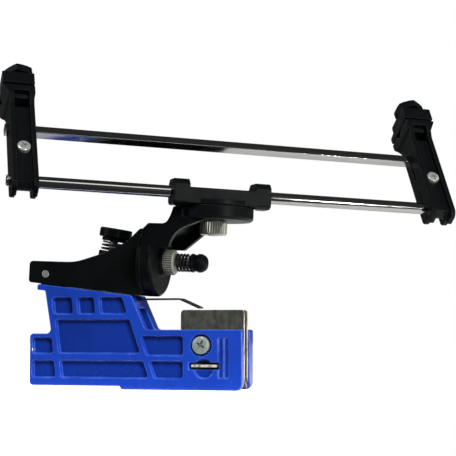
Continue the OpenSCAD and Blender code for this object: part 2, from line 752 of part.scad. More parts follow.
module elbow_bracket() {
    color(black) in_elbow() difference() {
        union() {
            bar(0, disc_t - disc_edge) {
                circle(disc_r);
                translate([-neck_half, 0]) square([2 * neck_half, shoulder_z]);
            }
            translate([disc_t - disc_edge, 0, 0]) rotate([0, 90, 0])
                cylinder(h = disc_edge, r1 = disc_r, r2 = disc_r - disc_edge);
            rod_x(tilt_boss_r, disc_t - past, tilt_boss_x);
            translate([swivel_x, 0, 0]) rod_z(swivel_r, disc_bottom + disc_edge, disc_top);
            translate([swivel_x, 0, disc_bottom])
                cylinder(h = disc_edge, r1 = swivel_r - disc_edge, r2 = swivel_r);
            slab(-neck_half, neck_half) web_outline();
            slab(-neck_half, -neck_half + neck_rib) rib_outline(hollow_x, hollow_z, hollow_r, hollow_lean);
            slab(neck_half - neck_rib, neck_half) rib_outline(gusset_x, gusset_z, 0, gusset_lean);
        }
        rod_x(stud_r + fit, -past, tilt_boss_x + past);
        translate([swivel_x, 0, 0]) rod_z(bolt_r + fit, disc_bottom - past, disc_top + past);
        translate([swivel_x, 0, neck_top - notch_h - notch_d])
            rotate([0, 0, 180 + asin(neck_half / swivel_r)])
                translate([swivel_r - notch_d, -notch_w / 2, 0]) cube([4, notch_w, notch_h]);
    }
}

// Carriage
module ear_outline() {
    low = rod_z - ear_h;
    high = rod_z + ear_h;
    c = 2.6;
    in = 2.6;
    up = 1.5;
    polygon(rounded([[-rod_front - ear_d / 2, low + up, 0.8], [-rod_front - ear_d / 2 + in, low, 0.8],
                     [-rod_front + ear_d / 2 - in, low, 0.8], [-rod_front + ear_d / 2, low + up, 0.8],
                     [-rod_front + ear_d / 2, high - c, 1], [-rod_front + ear_d / 2 - c, high, 1],
                     [-rod_front - ear_d / 2 + c, high, 1], [-rod_front - ear_d / 2, high - c, 1]]));
}

module carriage() {
    wall = (ear_d - 2 * rod_r - 0.8) / 2;
    color(black) in_carriage() difference() {
        union() {
            rod_z(swivel_r, clear, clear + plate_h);
            for (v = [-rod_front - ear_d / 2, -rod_front + ear_d / 2 - wall])
                translate([-ear_in - past, v, clear]) cube([2 * (ear_in + past), wall, trough_top - clear]);
            for (side = [-1, 1])
                difference() {
                    bar(side > 0 ? ear_in : -ear_out, side > 0 ? ear_out : -ear_in) ear_outline();
                    rod_z(swivel_r + 0.6, -far, clear);
                }
        }
        translate([0, -rod_front, rod_z]) rod_x(rod_r + fit, -far, far);
        translate([-ear_in, -rod_front - rod_r - 0.4, rod_z - rod_r - 0.4])
            cube([2 * ear_in, 2 * rod_r + 0.8, far]);
        rod_z(bolt_r + fit / 2, -past, far);
        rod_z(bolt_head_r + fit, clear + plate_h, far);
    }
}

module swivel_bolt() {
    seat = clear + plate_h;
    top = seat + bolt_head_h;
    color(zinc) in_carriage() union() {
        rod_z(bolt_r, bolt_end, seat);
        rod_z(bolt_head_r, seat, top - 1);
        translate([0, 0, top - 1]) cylinder(h = 1, r1 = bolt_head_r, r2 = bolt_head_r - 2);
    }
}

module swivel_nut() {
    c = 0.9;
    low = swivel_nut_z - swivel_nut_l;
    color(zinc) in_carriage() rotate_extrude() polygon([
        [bolt_r + fit, low], [swivel_nut_r - c, low], [swivel_nut_r, low + c],
        [swivel_nut_r, swivel_nut_z - c], [swivel_nut_r - c, swivel_nut_z], [bolt_r + fit, swivel_nut_z]]);
}

// Rods
module guide_rod() {
    c = 0.5;
    color(chrome) in_rod() union() {
        rod_x(rod_r, -rod_half + c, rod_half - c);
        translate([rod_half - c, 0, 0]) rotate([0, 90, 0]) cylinder(h = c, r1 = rod_r, r2 = rod_r - c);
        translate([-rod_half, 0, 0]) rotate([0, 90, 0]) cylinder(h = c, r1 = rod_r - c, r2 = rod_r);
    }
}

module spacer_bar() {
    color(chrome) in_frame() translate([-rod_half, -bar_side / 2, rod_spacing - bar_side / 2])
        cube([2 * rod_half, bar_side, bar_side]);
}

// End arms, drawn about the middle of their width
module rod_seats() {
    rod_x(rod_r + fit, -far, far);
    translate([-far, -bar_side / 2 - fit / 2, rod_spacing - bar_side / 2 - fit / 2])
        cube([2 * far, bar_side + fit, bar_side + fit]);
}

module front_outline() {
    polygon(rounded([
        [parting, -prong, 0], [-end_front, -prong, 5], [-end_front, slot_t - 12, 4],
        [-head_front, slot_t - 7, 3], [-head_front, slot_t, 0.6], [head_back, slot_t, 0.6],
        [head_back, slot_t - 4, 2], [end_back + 2.6, slot_t - 9, 3], [end_back + 0.4, clamp_top + 4, 3],
        [end_back, clamp_top + 0.3, 0], [parting, clamp_top + 0.3, 0]]));
}

function head_span(side) = side > 0 ? [-head_in, head_out] : [-head_out, head_in];

// Flare of the clamp head, wider to the outside
module head_flare(side) {
    polygon([[-side * far, head_low], [0, head_low], [side * (end_w / 2 - 0.5), flare_low],
             [side * head_out, flare_top], [side * far, flare_top], [side * far, far], [-side * far, far]]);
}

module prong_gap(top) {
    translate([-channel_w / 2, -far / 2, -far - top]) cube([channel_w, far, far]);
}

module end_arm_body(side) {
    head = head_span(side);
    pocket_back = -clamp_front + head_side / 2 + 0.2;
    difference() {
        union() {
            bar(-end_w / 2, end_w / 2) front_outline();
            intersection() {
                bar(head[0], head[1]) front_outline();
                slab(-far, far) head_flare(side);
            }
        }
        translate([-channel_w / 2, -head_front - past, -far])
            cube([channel_w, head_front + past + web_front, far + pocket_top]);
        prong_gap(rod_r + 2.2);
        rod_seats();
        translate([0, 0, pinch_t]) rod_y(pinch_r + fit, -far, far);
        translate([-channel_w / 2, -head_front - past, pocket_low])
            cube([channel_w, head_front + past + pocket_back, pocket_top - pocket_low]);
        translate([0, -clamp_front, 0]) rod_z(clamp_r + 0.1, pocket_low, far);
        bar(-far, far)
            polygon([[groove_v - groove_half - 0.1, slot_t + 0.1], [groove_v, slot_t - groove_half],
                     [groove_v + groove_half + 0.1, slot_t + 0.1]]);
    }
}

module clamp_plate_body() {
    nut_back = end_back - nut_deep;
    difference() {
        bar(-end_w / 2, end_w / 2) polygon(rounded([
            [parting, -back_prong, 0], [end_back, -back_prong, 4], [end_back, clamp_top, 2.5],
            [parting, clamp_top, 0]]));
        difference() {
            prong_gap(clear);
            rod_x(rod_r + ring_t, -far, far);
        }
        rod_seats();
        translate([0, 0, pinch_t]) rod_y(pinch_r + fit, -far, far);
        translate([0, nut_back, pinch_t]) rotate([-90, 0, 0])
            cylinder(h = far, r = nut_r + nut_room, $fn = 6);
        for (t = [[rod_r + 2, pinch_t - 4.3], [pinch_t + 4.3, rod_spacing - bar_side / 2 - 1.3]])
            translate([-far, parting - past, t[0]]) cube([2 * far, past + slit_w, t[1] - t[0]]);
    }
}

module at_end(side) { in_frame() translate([side * end_mid, 0, 0]) children(); }

module left_end_arm() { color(black) at_end(-1) end_arm_body(-1); }
module right_end_arm() { color(black) at_end(1) end_arm_body(1); }
module left_clamp_plate() { color(black) at_end(-1) clamp_plate_body(); }
module right_clamp_plate() { color(black) at_end(1) clamp_plate_body(); }

module pinch_screws() {
    rim = web_front - 1.4;
    color(zinc) for (side = [-1, 1]) at_end(side) translate([0, 0, pinch_t]) {
        rod_y(pinch_r, web_front, end_back + 1);
        rod_y(pinch_head_r, rim, web_front);
        translate([0, rim, 0]) rotate([90, 0, 0])
            cylinder(h = 0.9, r1 = pinch_head_r, r2 = pinch_head_r - 1.3);
    }
}

module pinch_nuts() {
    color(zinc) for (side = [-1, 1]) at_end(side)
        translate([0, end_back - nut_deep, pinch_t]) rotate([-90, 0, 0]) difference() {
            cylinder(h = nut_h, r = nut_r, $fn = 6);
            translate([0, 0, -past]) cylinder(h = nut_h + 2 * past, r = pinch_r + fit);
        }
}

// File clamps
module clamp_bolts() {
    head_h = 3;
    color(zinc) for (side = [-1, 1]) at_end(side) translate([0, -clamp_front, 0]) {
        rod_z(clamp_r, pocket_top - head_h, bolt_top);
        translate([-head_side / 2, -head_side / 2, pocket_top - head_h]) cube([head_side, head_side, head_h]);
    }
}

module file_jaw_body(side) {
    head = head_span(side);
    lip_h = 4;
    difference() {
        bar(head[0], head[1]) polygon(rounded([
            [-head_front, jaw_low, 0.6], [head_back, jaw_low, 0.6], [head_back, jaw_low + lip_h, 1],
            [head_back - 4.6, jaw_low + lip_h + 0.6, 0.8], [head_back - 4.6, jaw_top, 1.2],
            [-head_front, jaw_top, 1.2]]));
        translate([0, -clamp_front, 0]) rod_z(clamp_r + 0.1, 0, far);
    }
}

module left_file_jaw() { color(black) at_end(-1) file_jaw_body(-1); }
module right_file_jaw() { color(black) at_end(1) file_jaw_body(1); }

module file_knob_body(turn) {
    c = 0.8;
    translate([0, -clamp_front, knob_low]) difference() {
        intersection() {
            rotate([0, 0, turn - 90]) cylinder(h = hex_h, r = hex_r, $fn = 6);
            rotate_extrude() polygon([
                [0, -past], [hex_r + c, -past], [hex_r + c, hex_h - c], [hex_r - 1.4 * c, hex_h],
                [0, hex_h]]);
        }
        rod_z(clamp_r + fit, -past, hex_h - 1);
    }
}

module left_file_knob() { color(black) at_end(-1) file_knob_body(hex_turn[0]); }
module right_file_knob() { color(black) at_end(1) file_knob_body(hex_turn[1]); }

base_casting();
hinge_pin();
fixed_jaw_plate();
jaw_rivets();
moving_jaw_plate();
clamp_screw();
chain_stop();
chain_stop_screw();
hinge_arm();
height_screw();
height_knob();
height_spring();
tilt_stud();
tilt_nut();
stop_spring();
stop_cap();
elbow_bracket();
carriage();
swivel_bolt();
swivel_nut();
guide_rod();
spacer_bar();
left_end_arm();
right_end_arm();
left_clamp_plate();
right_clamp_plate();
pinch_screws();
pinch_nuts();
clamp_bolts();
left_file_jaw();
right_file_jaw();
left_file_knob();
right_file_knob();
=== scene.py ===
"""Looks of a bar-mount chainsaw sharpener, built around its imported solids."""

import json
import logging
import math
from collections.abc import Iterable
from dataclasses import dataclass, field
from enum import Enum
from typing import Any, ClassVar

import bmesh
import bpy
from bmesh.types import BMesh, BMFace
from bpy.types import Material, Node, NodeSocket, NodeTree, Object
from mathutils import Matrix, Vector

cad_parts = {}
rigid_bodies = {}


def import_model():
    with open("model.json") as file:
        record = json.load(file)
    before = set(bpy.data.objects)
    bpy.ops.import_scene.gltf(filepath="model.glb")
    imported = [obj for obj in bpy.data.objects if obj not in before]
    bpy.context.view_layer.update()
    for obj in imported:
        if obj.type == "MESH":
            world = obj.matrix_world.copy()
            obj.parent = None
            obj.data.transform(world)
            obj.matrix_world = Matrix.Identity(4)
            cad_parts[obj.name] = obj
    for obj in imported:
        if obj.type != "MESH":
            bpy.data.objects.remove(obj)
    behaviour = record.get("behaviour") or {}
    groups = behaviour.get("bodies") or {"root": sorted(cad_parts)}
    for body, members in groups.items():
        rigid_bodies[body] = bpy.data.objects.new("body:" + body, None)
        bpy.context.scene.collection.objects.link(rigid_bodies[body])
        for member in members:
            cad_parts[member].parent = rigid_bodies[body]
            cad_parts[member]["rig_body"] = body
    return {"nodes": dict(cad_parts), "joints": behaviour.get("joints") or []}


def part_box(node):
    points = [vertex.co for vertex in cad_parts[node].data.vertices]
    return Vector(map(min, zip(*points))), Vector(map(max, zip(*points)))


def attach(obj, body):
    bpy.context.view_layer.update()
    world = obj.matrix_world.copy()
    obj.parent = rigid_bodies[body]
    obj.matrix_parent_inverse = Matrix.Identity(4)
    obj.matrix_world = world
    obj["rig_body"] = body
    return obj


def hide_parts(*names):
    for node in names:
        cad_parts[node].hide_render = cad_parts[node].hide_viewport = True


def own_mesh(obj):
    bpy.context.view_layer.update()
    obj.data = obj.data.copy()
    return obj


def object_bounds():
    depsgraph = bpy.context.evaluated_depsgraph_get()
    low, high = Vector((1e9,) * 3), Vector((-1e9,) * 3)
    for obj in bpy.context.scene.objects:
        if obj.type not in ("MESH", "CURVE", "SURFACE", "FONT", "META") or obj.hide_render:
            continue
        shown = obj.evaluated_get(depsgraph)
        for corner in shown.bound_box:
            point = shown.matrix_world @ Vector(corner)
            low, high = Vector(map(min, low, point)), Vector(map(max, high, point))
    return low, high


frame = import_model()
CAD_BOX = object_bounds()
LOG = logging.getLogger("sharpener")

MM = 0.001
TOUCH = 1e-5
EDGE_LAYER = "rounded_edge"
SHADE_LAYER = "painted_recess_shade"

Triple = tuple[float, float, float]
Profile = list[tuple[float, float]]


class Slot(Enum):
    """Names of the material slots that each finish carries."""

    ENAMEL = "blue_enamel"
    PLASTIC = "black_plastic"
    ZINC = "zinc_steel"
    SHEET = "jaw_steel"
    CHROME = "chrome_rod"
    SPRING = "black_spring"


class Along(Enum):
    """Direction in which a drawn or brushed finish runs, as a rotation of its pattern."""

    NONE = (0.0, 0.0, 0.0)
    ROD = (0.0, math.radians(2.1), math.radians(-32.3))
    UPRIGHT = (0.0, math.radians(90.0), 0.0)


# Finishes

def link_nodes(tree: NodeTree, *rows: tuple[Node, str, Node, str | int]) -> None:
    """Links nodes of a tree.

    Args:
        tree: The tree.
        *rows: A node and its output's name, then a node and its input's name or number.
    """
    for source, output, target, entry in rows:
        tree.links.new(source.outputs[output], target.inputs[entry])


class Groups:
    """Shader node groups that several finishes share, each made once."""

    GRAIN_ROUGHNESS: ClassVar[float] = 0.55
    CELL_SHARE: ClassVar[float] = 0.5
    WEAR_DETAIL: ClassVar[float] = 6.0
    WEAR_ROUGHNESS: ClassVar[float] = 0.7
    WEAR_DISTORTION: ClassVar[float] = 0.4
    WEAR_RANGE: ClassVar[tuple[float, float]] = (0.35, 0.75)
    _made: ClassVar[dict[str, NodeTree]] = {}

    @classmethod
    def grain(cls) -> NodeTree:
        """Fine even grain, such as moulded texture or orange peel.

        Returns:
            A group with inputs Vector, Scale and Detail, and outputs Mask and Height.
        """
        if "surface_grain" in cls._made:
            return cls._made["surface_grain"]
        tree, enter, leave = cls._shell(
            "surface_grain",
            inputs={"Vector": "NodeSocketVector", "Scale": "NodeSocketFloat", "Detail": "NodeSocketFloat"},
            outputs={"Mask": "NodeSocketFloat", "Height": "NodeSocketFloat"},
        )
        noise = tree.nodes.new("ShaderNodeTexNoise")
        noise.inputs["Roughness"].default_value = cls.GRAIN_ROUGHNESS
        cells = tree.nodes.new("ShaderNodeTexVoronoi")
        cells.feature = "SMOOTH_F1"
        both = tree.nodes.new("ShaderNodeMath")
        both.operation = "MULTIPLY_ADD"
        both.inputs[1].default_value = cls.CELL_SHARE
        link_nodes(
            tree, (enter, "Vector", noise, "Vector"), (enter, "Scale", noise, "Scale"),
            (enter, "Vector", cells, "Vector"), (enter, "Scale", cells, "Scale"),
            (enter, "Detail", noise, "Detail"), (cells, "Distance", both, 0), (noise, "Fac", both, 2),
            (noise, "Fac", leave, "Mask"), (both, "Value", leave, "Height"),
        )
        return tree

    @classmethod
    def wear(cls) -> NodeTree:
        """Patches of handling wear, stronger along the rounded edges, which some finishes use for a painted
        highlight instead.

        Returns:
            A group with inputs Vector, Scale, Amount and Edge, and outputs Mask and Rub.
        """
        if "wear_and_edge_sheen" in cls._made:
            return cls._made["wear_and_edge_sheen"]
        tree, enter, leave = cls._shell(
            "wear_and_edge_sheen",
            inputs={
                "Vector": "NodeSocketVector", "Scale": "NodeSocketFloat", "Amount": "NodeSocketFloat",
                "Edge": "NodeSocketFloat",
            },
            outputs={"Mask": "NodeSocketFloat", "RubAndSheen": "NodeSocketFloat"},
        )
        noise = tree.nodes.new("ShaderNodeTexNoise")
        noise.inputs["Detail"].default_value = cls.WEAR_DETAIL
        noise.inputs["Roughness"].default_value = cls.WEAR_ROUGHNESS
        noise.inputs["Distortion"].default_value = cls.WEAR_DISTORTION
        spread = tree.nodes.new("ShaderNodeMapRange")
        spread.inputs["From Min"].default_value = cls.WEAR_RANGE[0]
        spread.inputs["From Max"].default_value = cls.WEAR_RANGE[1]
        scaled = tree.nodes.new("ShaderNodeMath")
        scaled.operation = "MULTIPLY"
        edge_rub_and_sheen = tree.nodes.new("ShaderNodeMath")
        edge_rub_and_sheen.operation = "MULTIPLY"
        link_nodes(
            tree, (enter, "Vector", noise, "Vector"), (enter, "Scale", noise, "Scale"),
            (noise, "Fac", spread, "Value"), (spread, "Result", scaled, 0), (enter, "Amount", scaled, 1),
            (scaled, "Value", edge_rub_and_sheen, 0), (enter, "Edge", edge_rub_and_sheen, 1), (spread, "Result", leave, "Mask"),
            (edge_rub_and_sheen, "Value", leave, "RubAndSheen"),
        )
        return tree

    @classmethod
    def _shell(
        cls, name: str, inputs: dict[str, str], outputs: dict[str, str]
    ) -> tuple[NodeTree, Node, Node]:
        """Makes an empty group with its sockets.

        Args:
            name: Name of the group.
            inputs: Socket types by input name.
            outputs: Socket types by output name.

        Returns:
            The group's tree, its input node and its output node.
        """
        tree = bpy.data.node_groups.new(name, "ShaderNodeTree")
        for label, kind in inputs.items():
            tree.interface.new_socket(name=label, in_out="INPUT", socket_type=kind)
        for label, kind in outputs.items():
            tree.interface.new_socket(name=label, in_out="OUTPUT", socket_type=kind)
        enter = tree.nodes.new("NodeGroupInput")
        leave = tree.nodes.new("NodeGroupOutput")
        cls._made[name] = tree
        return tree, enter, leave


@dataclass(frozen=True)
class Finish:
    """A surface finish made of two colours, grain, handling wear and a third colour on edges: wear on most
    finishes, a painted highlight on some.

    The colours are linear. Scales count features a metre, and depth is the grain's height in metres. Sunk is
    the painted shade of recessed floors, where the finish has one.
    """

    GRAIN_DETAIL: ClassVar[float] = 3.0
    MOTTLE_DETAIL: ClassVar[float] = 5.0

    name: str
    slot: Slot
    dark: Triple
    light: Triple
    rough: tuple[float, float]
    rub_and_sheen: Triple
    rub_and_sheen_amount: float = 0.5
    metallic: float = 0.0
    specular: float = 0.5
    coat: float = 0.0
    coat_rough: float = 0.05
    grain_scale: float = 1500.0
    grain_depth: float = 0.00005
    grain_strength: float = 0.2
    mottle_scale: float = 60.0
    wear_scale: float = 90.0
    along: Along = Along.NONE
    stretch: Triple = (1.0, 1.0, 1.0)
    sunk: Triple | None = None

    def dress(self, piece: Object) -> Object:
        """Puts the finish on a piece.

        Args:
            piece: The piece to dress.

        Returns:
            The same piece.
        """
        piece.data.materials.clear()
        piece.data.materials.append(bpy.data.materials.get(self.name) or self._make())
        return piece

    def _make(self) -> Material:
        """Builds the node material.

        Returns:
            The new material.
        """
        made = bpy.data.materials.new(self.name)
        made.use_nodes = True
        nodes, links = made.node_tree.nodes, made.node_tree.links
        shader = nodes["Principled BSDF"]
        shader.inputs["Metallic"].default_value = self.metallic
        shader.inputs["Specular IOR Level"].default_value = self.specular
        shader.inputs["Coat Weight"].default_value = self.coat
        shader.inputs["Coat Roughness"].default_value = self.coat_rough
        coords = nodes.new("ShaderNodeTexCoord")
        turned = nodes.new("ShaderNodeMapping")
        turned.vector_type = "TEXTURE"
        turned.inputs["Rotation"].default_value = [-angle for angle in self.along.value]
        turned.inputs["Scale"].default_value = self.stretch
        grain = self._group(made, Groups.grain(), turned, Scale=self.grain_scale, Detail=self.GRAIN_DETAIL)
        mottle = self._group(made, Groups.grain(), turned, Scale=self.mottle_scale, Detail=self.MOTTLE_DETAIL)
        wear = self._group(made, Groups.wear(), turned, Scale=self.wear_scale, Amount=self.rub_and_sheen_amount)
        links.new(self._layer(made, EDGE_LAYER), wear.inputs["Edge"])
        colour = self._mixed(made, mottle.outputs["Mask"], self.dark, self.light)
        # Sunk floors take the sunk colour, a painted shade.
        if self.sunk is not None:
            colour = self._mixed(made, self._layer(made, SHADE_LAYER), colour, self.sunk)
        # Edges take the edge colour: wear on most finishes, a painted highlight on the enamel and the sheet's
        # cut edges.
        colour = self._mixed(made, wear.outputs["RubAndSheen"], colour, self.rub_and_sheen)
        links.new(colour, shader.inputs["Base Color"])
        rough = nodes.new("ShaderNodeMapRange")
        rough.inputs["To Min"].default_value = self.rough[0]
        rough.inputs["To Max"].default_value = self.rough[1]
        bump = nodes.new("ShaderNodeBump")
        bump.inputs["Strength"].default_value = self.grain_strength
        bump.inputs["Distance"].default_value = self.grain_depth
        link_nodes(
            made.node_tree, (coords, "Object", turned, "Vector"), (wear, "Mask", rough, "Value"),
            (rough, "Result", shader, "Roughness"), (grain, "Height", bump, "Height"),
            (bump, "Normal", shader, "Normal"),
        )
        return made

    @staticmethod
    def _layer(made: Material, layer: str) -> NodeSocket:
        """Reads a mask that the piece's mesh holds.

        Args:
            made: The material.
            layer: Name of the mesh's layer.

        Returns:
            The output with the mask.
        """
        mask = made.node_tree.nodes.new("ShaderNodeAttribute")
        mask.attribute_name = layer
        return mask.outputs["Fac"]

    @staticmethod
    def _mixed(made: Material, mask: NodeSocket, base: NodeSocket | Triple, top: Triple) -> NodeSocket:
        """Lays a colour over another by a mask.

        Args:
            made: The material.
            mask: Output with the mask, one where the top colour shows.
            base: Colour below, or the output that has it.
            top: Colour above.

        Returns:
            The output with the mixed colour.
        """
        mix = made.node_tree.nodes.new("ShaderNodeMix")
        mix.data_type = "RGBA"
        mix.inputs["B"].default_value = (*top, 1.0)
        made.node_tree.links.new(mask, mix.inputs["Factor"])
        if isinstance(base, NodeSocket):
            made.node_tree.links.new(base, mix.inputs["A"])
        else:
            mix.inputs["A"].default_value = (*base, 1.0)
        return mix.outputs["Result"]

    @staticmethod
    def _group(made: Material, tree: NodeTree, vector: Node, **values: float) -> Node:
        """Places a group in a material.

        Args:
            made: The material.
            tree: The group.
            vector: Node whose Vector output feeds the group.
            **values: Values of the group's other inputs.

        Returns:
            The group node.
        """
        node = made.node_tree.nodes.new("ShaderNodeGroup")
        node.node_tree = tree
        made.node_tree.links.new(vector.outputs["Vector"], node.inputs["Vector"])
        for label, value in values.items():
            node.inputs[label].default_value = value
        return node


BLUE_ENAMEL = Finish(
    "blue_gloss_enamel", Slot.ENAMEL, dark=(0.007, 0.038, 0.34), light=(0.012, 0.062, 0.51),
    # The edge colour here is a painted highlight along the rounded edges.
    rough=(0.20, 0.34), rub_and_sheen=(0.09, 0.22, 0.85), rub_and_sheen_amount=0.6, specular=0.12, coat=0.9, coat_rough=0.08,
    # The sunk colour here is a painted shade on the pocket floors.
    grain_scale=700.0, grain_depth=0.0003, grain_strength=0.12, mottle_scale=45.0, sunk=(0.005, 0.031, 0.27),
)
BLACK_PLASTIC = Finish(
    "black_moulded_plastic", Slot.PLASTIC, dark=(0.0014, 0.0019, 0.0021), light=(0.0034, 0.0042, 0.0045),
    rough=(0.34, 0.52), rub_and_sheen=(0.014, 0.016, 0.017), specular=0.12, grain_scale=2600.0, grain_depth=0.00008,
    grain_strength=0.25,
)
ZINC_PLATE = Finish(
    "zinc_plated_steel", Slot.ZINC, dark=(0.52, 0.52, 0.49), light=(0.80, 0.79, 0.75),
    rough=(0.22, 0.40), rub_and_sheen=(0.90, 0.89, 0.86), metallic=0.75, grain_scale=3200.0, grain_depth=0.00003,
    mottle_scale=220.0, wear_scale=300.0,
)
SCREW_STEEL = Finish(
    "passivated_screw_steel", Slot.ZINC, dark=(0.32, 0.40, 0.36), light=(0.62, 0.70, 0.65),
    rough=(0.32, 0.50), rub_and_sheen=(0.70, 0.74, 0.70), metallic=0.6, grain_scale=2600.0, grain_depth=0.00004,
    mottle_scale=400.0, wear_scale=360.0,
)
NUT_STEEL = Finish(
    "dull_nut_steel", Slot.ZINC, dark=(0.46, 0.48, 0.39), light=(0.80, 0.81, 0.69),
    rough=(0.30, 0.48), rub_and_sheen=(0.86, 0.84, 0.74), rub_and_sheen_amount=0.9, metallic=0.6, grain_scale=3200.0,
    # The sunk colour here is a painted shade in the knurl's valleys.
    grain_depth=0.00004, mottle_scale=260.0, wear_scale=320.0, sunk=(0.035, 0.038, 0.030),
)
STRIP_STEEL = Finish(
    "dark_spring_strip", Slot.ZINC, dark=(0.045, 0.047, 0.048), light=(0.11, 0.112, 0.112),
    rough=(0.34, 0.50), rub_and_sheen=(0.30, 0.30, 0.29), metallic=1.0, grain_scale=2400.0, grain_depth=0.00003,
    mottle_scale=160.0, wear_scale=200.0,
)
SHEET_STEEL = Finish(
    "drawn_sheet_steel", Slot.SHEET, dark=(0.0, 0.0, 0.0), light=(0.19, 0.197, 0.166),
    # The edge colour here is near white: the bare cut edge's tone raised into a painted highlight.
    rough=(0.34, 0.55), rub_and_sheen=(1.00, 0.92, 0.76), rub_and_sheen_amount=2.4, metallic=0.5, grain_scale=1500.0,
    grain_depth=0.00008, grain_strength=0.6, mottle_scale=480.0, wear_scale=240.0, along=Along.UPRIGHT,
    stretch=(1.8, 1.0, 1.0),
)
ROD_CHROME = Finish(
    "polished_rod_chrome", Slot.CHROME, dark=(0.30, 0.30, 0.29), light=(0.47, 0.47, 0.455),
    rough=(0.07, 0.18), rub_and_sheen=(0.66, 0.66, 0.66), metallic=1.0, grain_scale=900.0, grain_depth=0.00002,
    grain_strength=0.2, mottle_scale=300.0, along=Along.ROD, stretch=(14.0, 1.0, 1.0),
)
SPRING_BLACK = Finish(
    "blackened_spring_wire", Slot.SPRING, dark=(0.006, 0.006, 0.006), light=(0.016, 0.016, 0.016),
    rough=(0.26, 0.40), rub_and_sheen=(0.08, 0.08, 0.08), metallic=0.5, grain_scale=3000.0, grain_depth=0.00002,
)
BOLT_BLACK = Finish(
    "black_oxide_bolt", Slot.ZINC, dark=(0.004, 0.004, 0.0045), light=(0.011, 0.011, 0.012),
    rough=(0.34, 0.52), rub_and_sheen=(0.05, 0.05, 0.05), metallic=0.4, specular=0.2, grain_scale=2800.0,
    grain_depth=0.00003,
)


# Shared mesh work

def joint_named(name: str) -> dict[str, Any]:
    """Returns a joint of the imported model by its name."""
    return next(joint for joint in frame["joints"] if joint["name"] == name)


@dataclass(frozen=True)
class Axis:
    """A line in the part's frame that turned pieces are built along."""

    origin: Vector
    direction: Vector

    @classmethod
    def of_joint(cls, name: str) -> "Axis":
        """Returns the axis of a hinge by its name."""
        joint = joint_named(name)
        return cls(Vector(joint["pos_m"]), Vector(joint["axis"]).normalized())

    def towards_head(self, node: str) -> "Axis":
        """Turns the line so that it points to a node's widest end.

        Args:
            node: Name of the node.

        Returns:
            This line, or the same line the other way round.
        """
        height, _ = max(self._measured(node), key=lambda point: point[1])
        low, high = self.span(node)
        return self if height > (low + high) / 2 else Axis(self.origin, -self.direction)

    def matrix(self) -> Matrix:
        """Returns the transform that puts the Z axis on this line."""
        turn = self.direction.to_track_quat("Z", "Y").to_matrix().to_4x4()
        return Matrix.Translation(self.origin) @ turn

    def point(self, height: float) -> Vector:
        """Returns the point at a distance along the line."""
        return self.origin + self.direction * height

    def span(self, node: str) -> tuple[float, float]:
        """Returns the lowest and the highest distance of a node along the line."""
        heights = [height for height, _ in self._measured(node)]
        return min(heights), max(heights)

    def radius(self, node: str, low: float = -math.inf, high: float = math.inf) -> float:
        """Returns a node's largest distance from the line, between two heights along it."""
        return max(reach for height, reach in self._measured(node) if low <= height <= high)

    def polar(self, points: Iterable[Vector]) -> Profile:
        """Measures points along the line and across it.

        Args:
            points: The points.

        Returns:
            The distance along the line and the distance from it of each point.
        """
        measures = []
        for point in points:
            offset = point - self.origin
            height = offset.dot(self.direction)
            measures.append((height, (offset - self.direction * height).length))
        return measures

    def _measured(self, node: str) -> Profile:
        """Returns the distance along the line and from it of a node's points."""
        return self.polar(vertex.co for vertex in frame["nodes"][node].data.vertices)


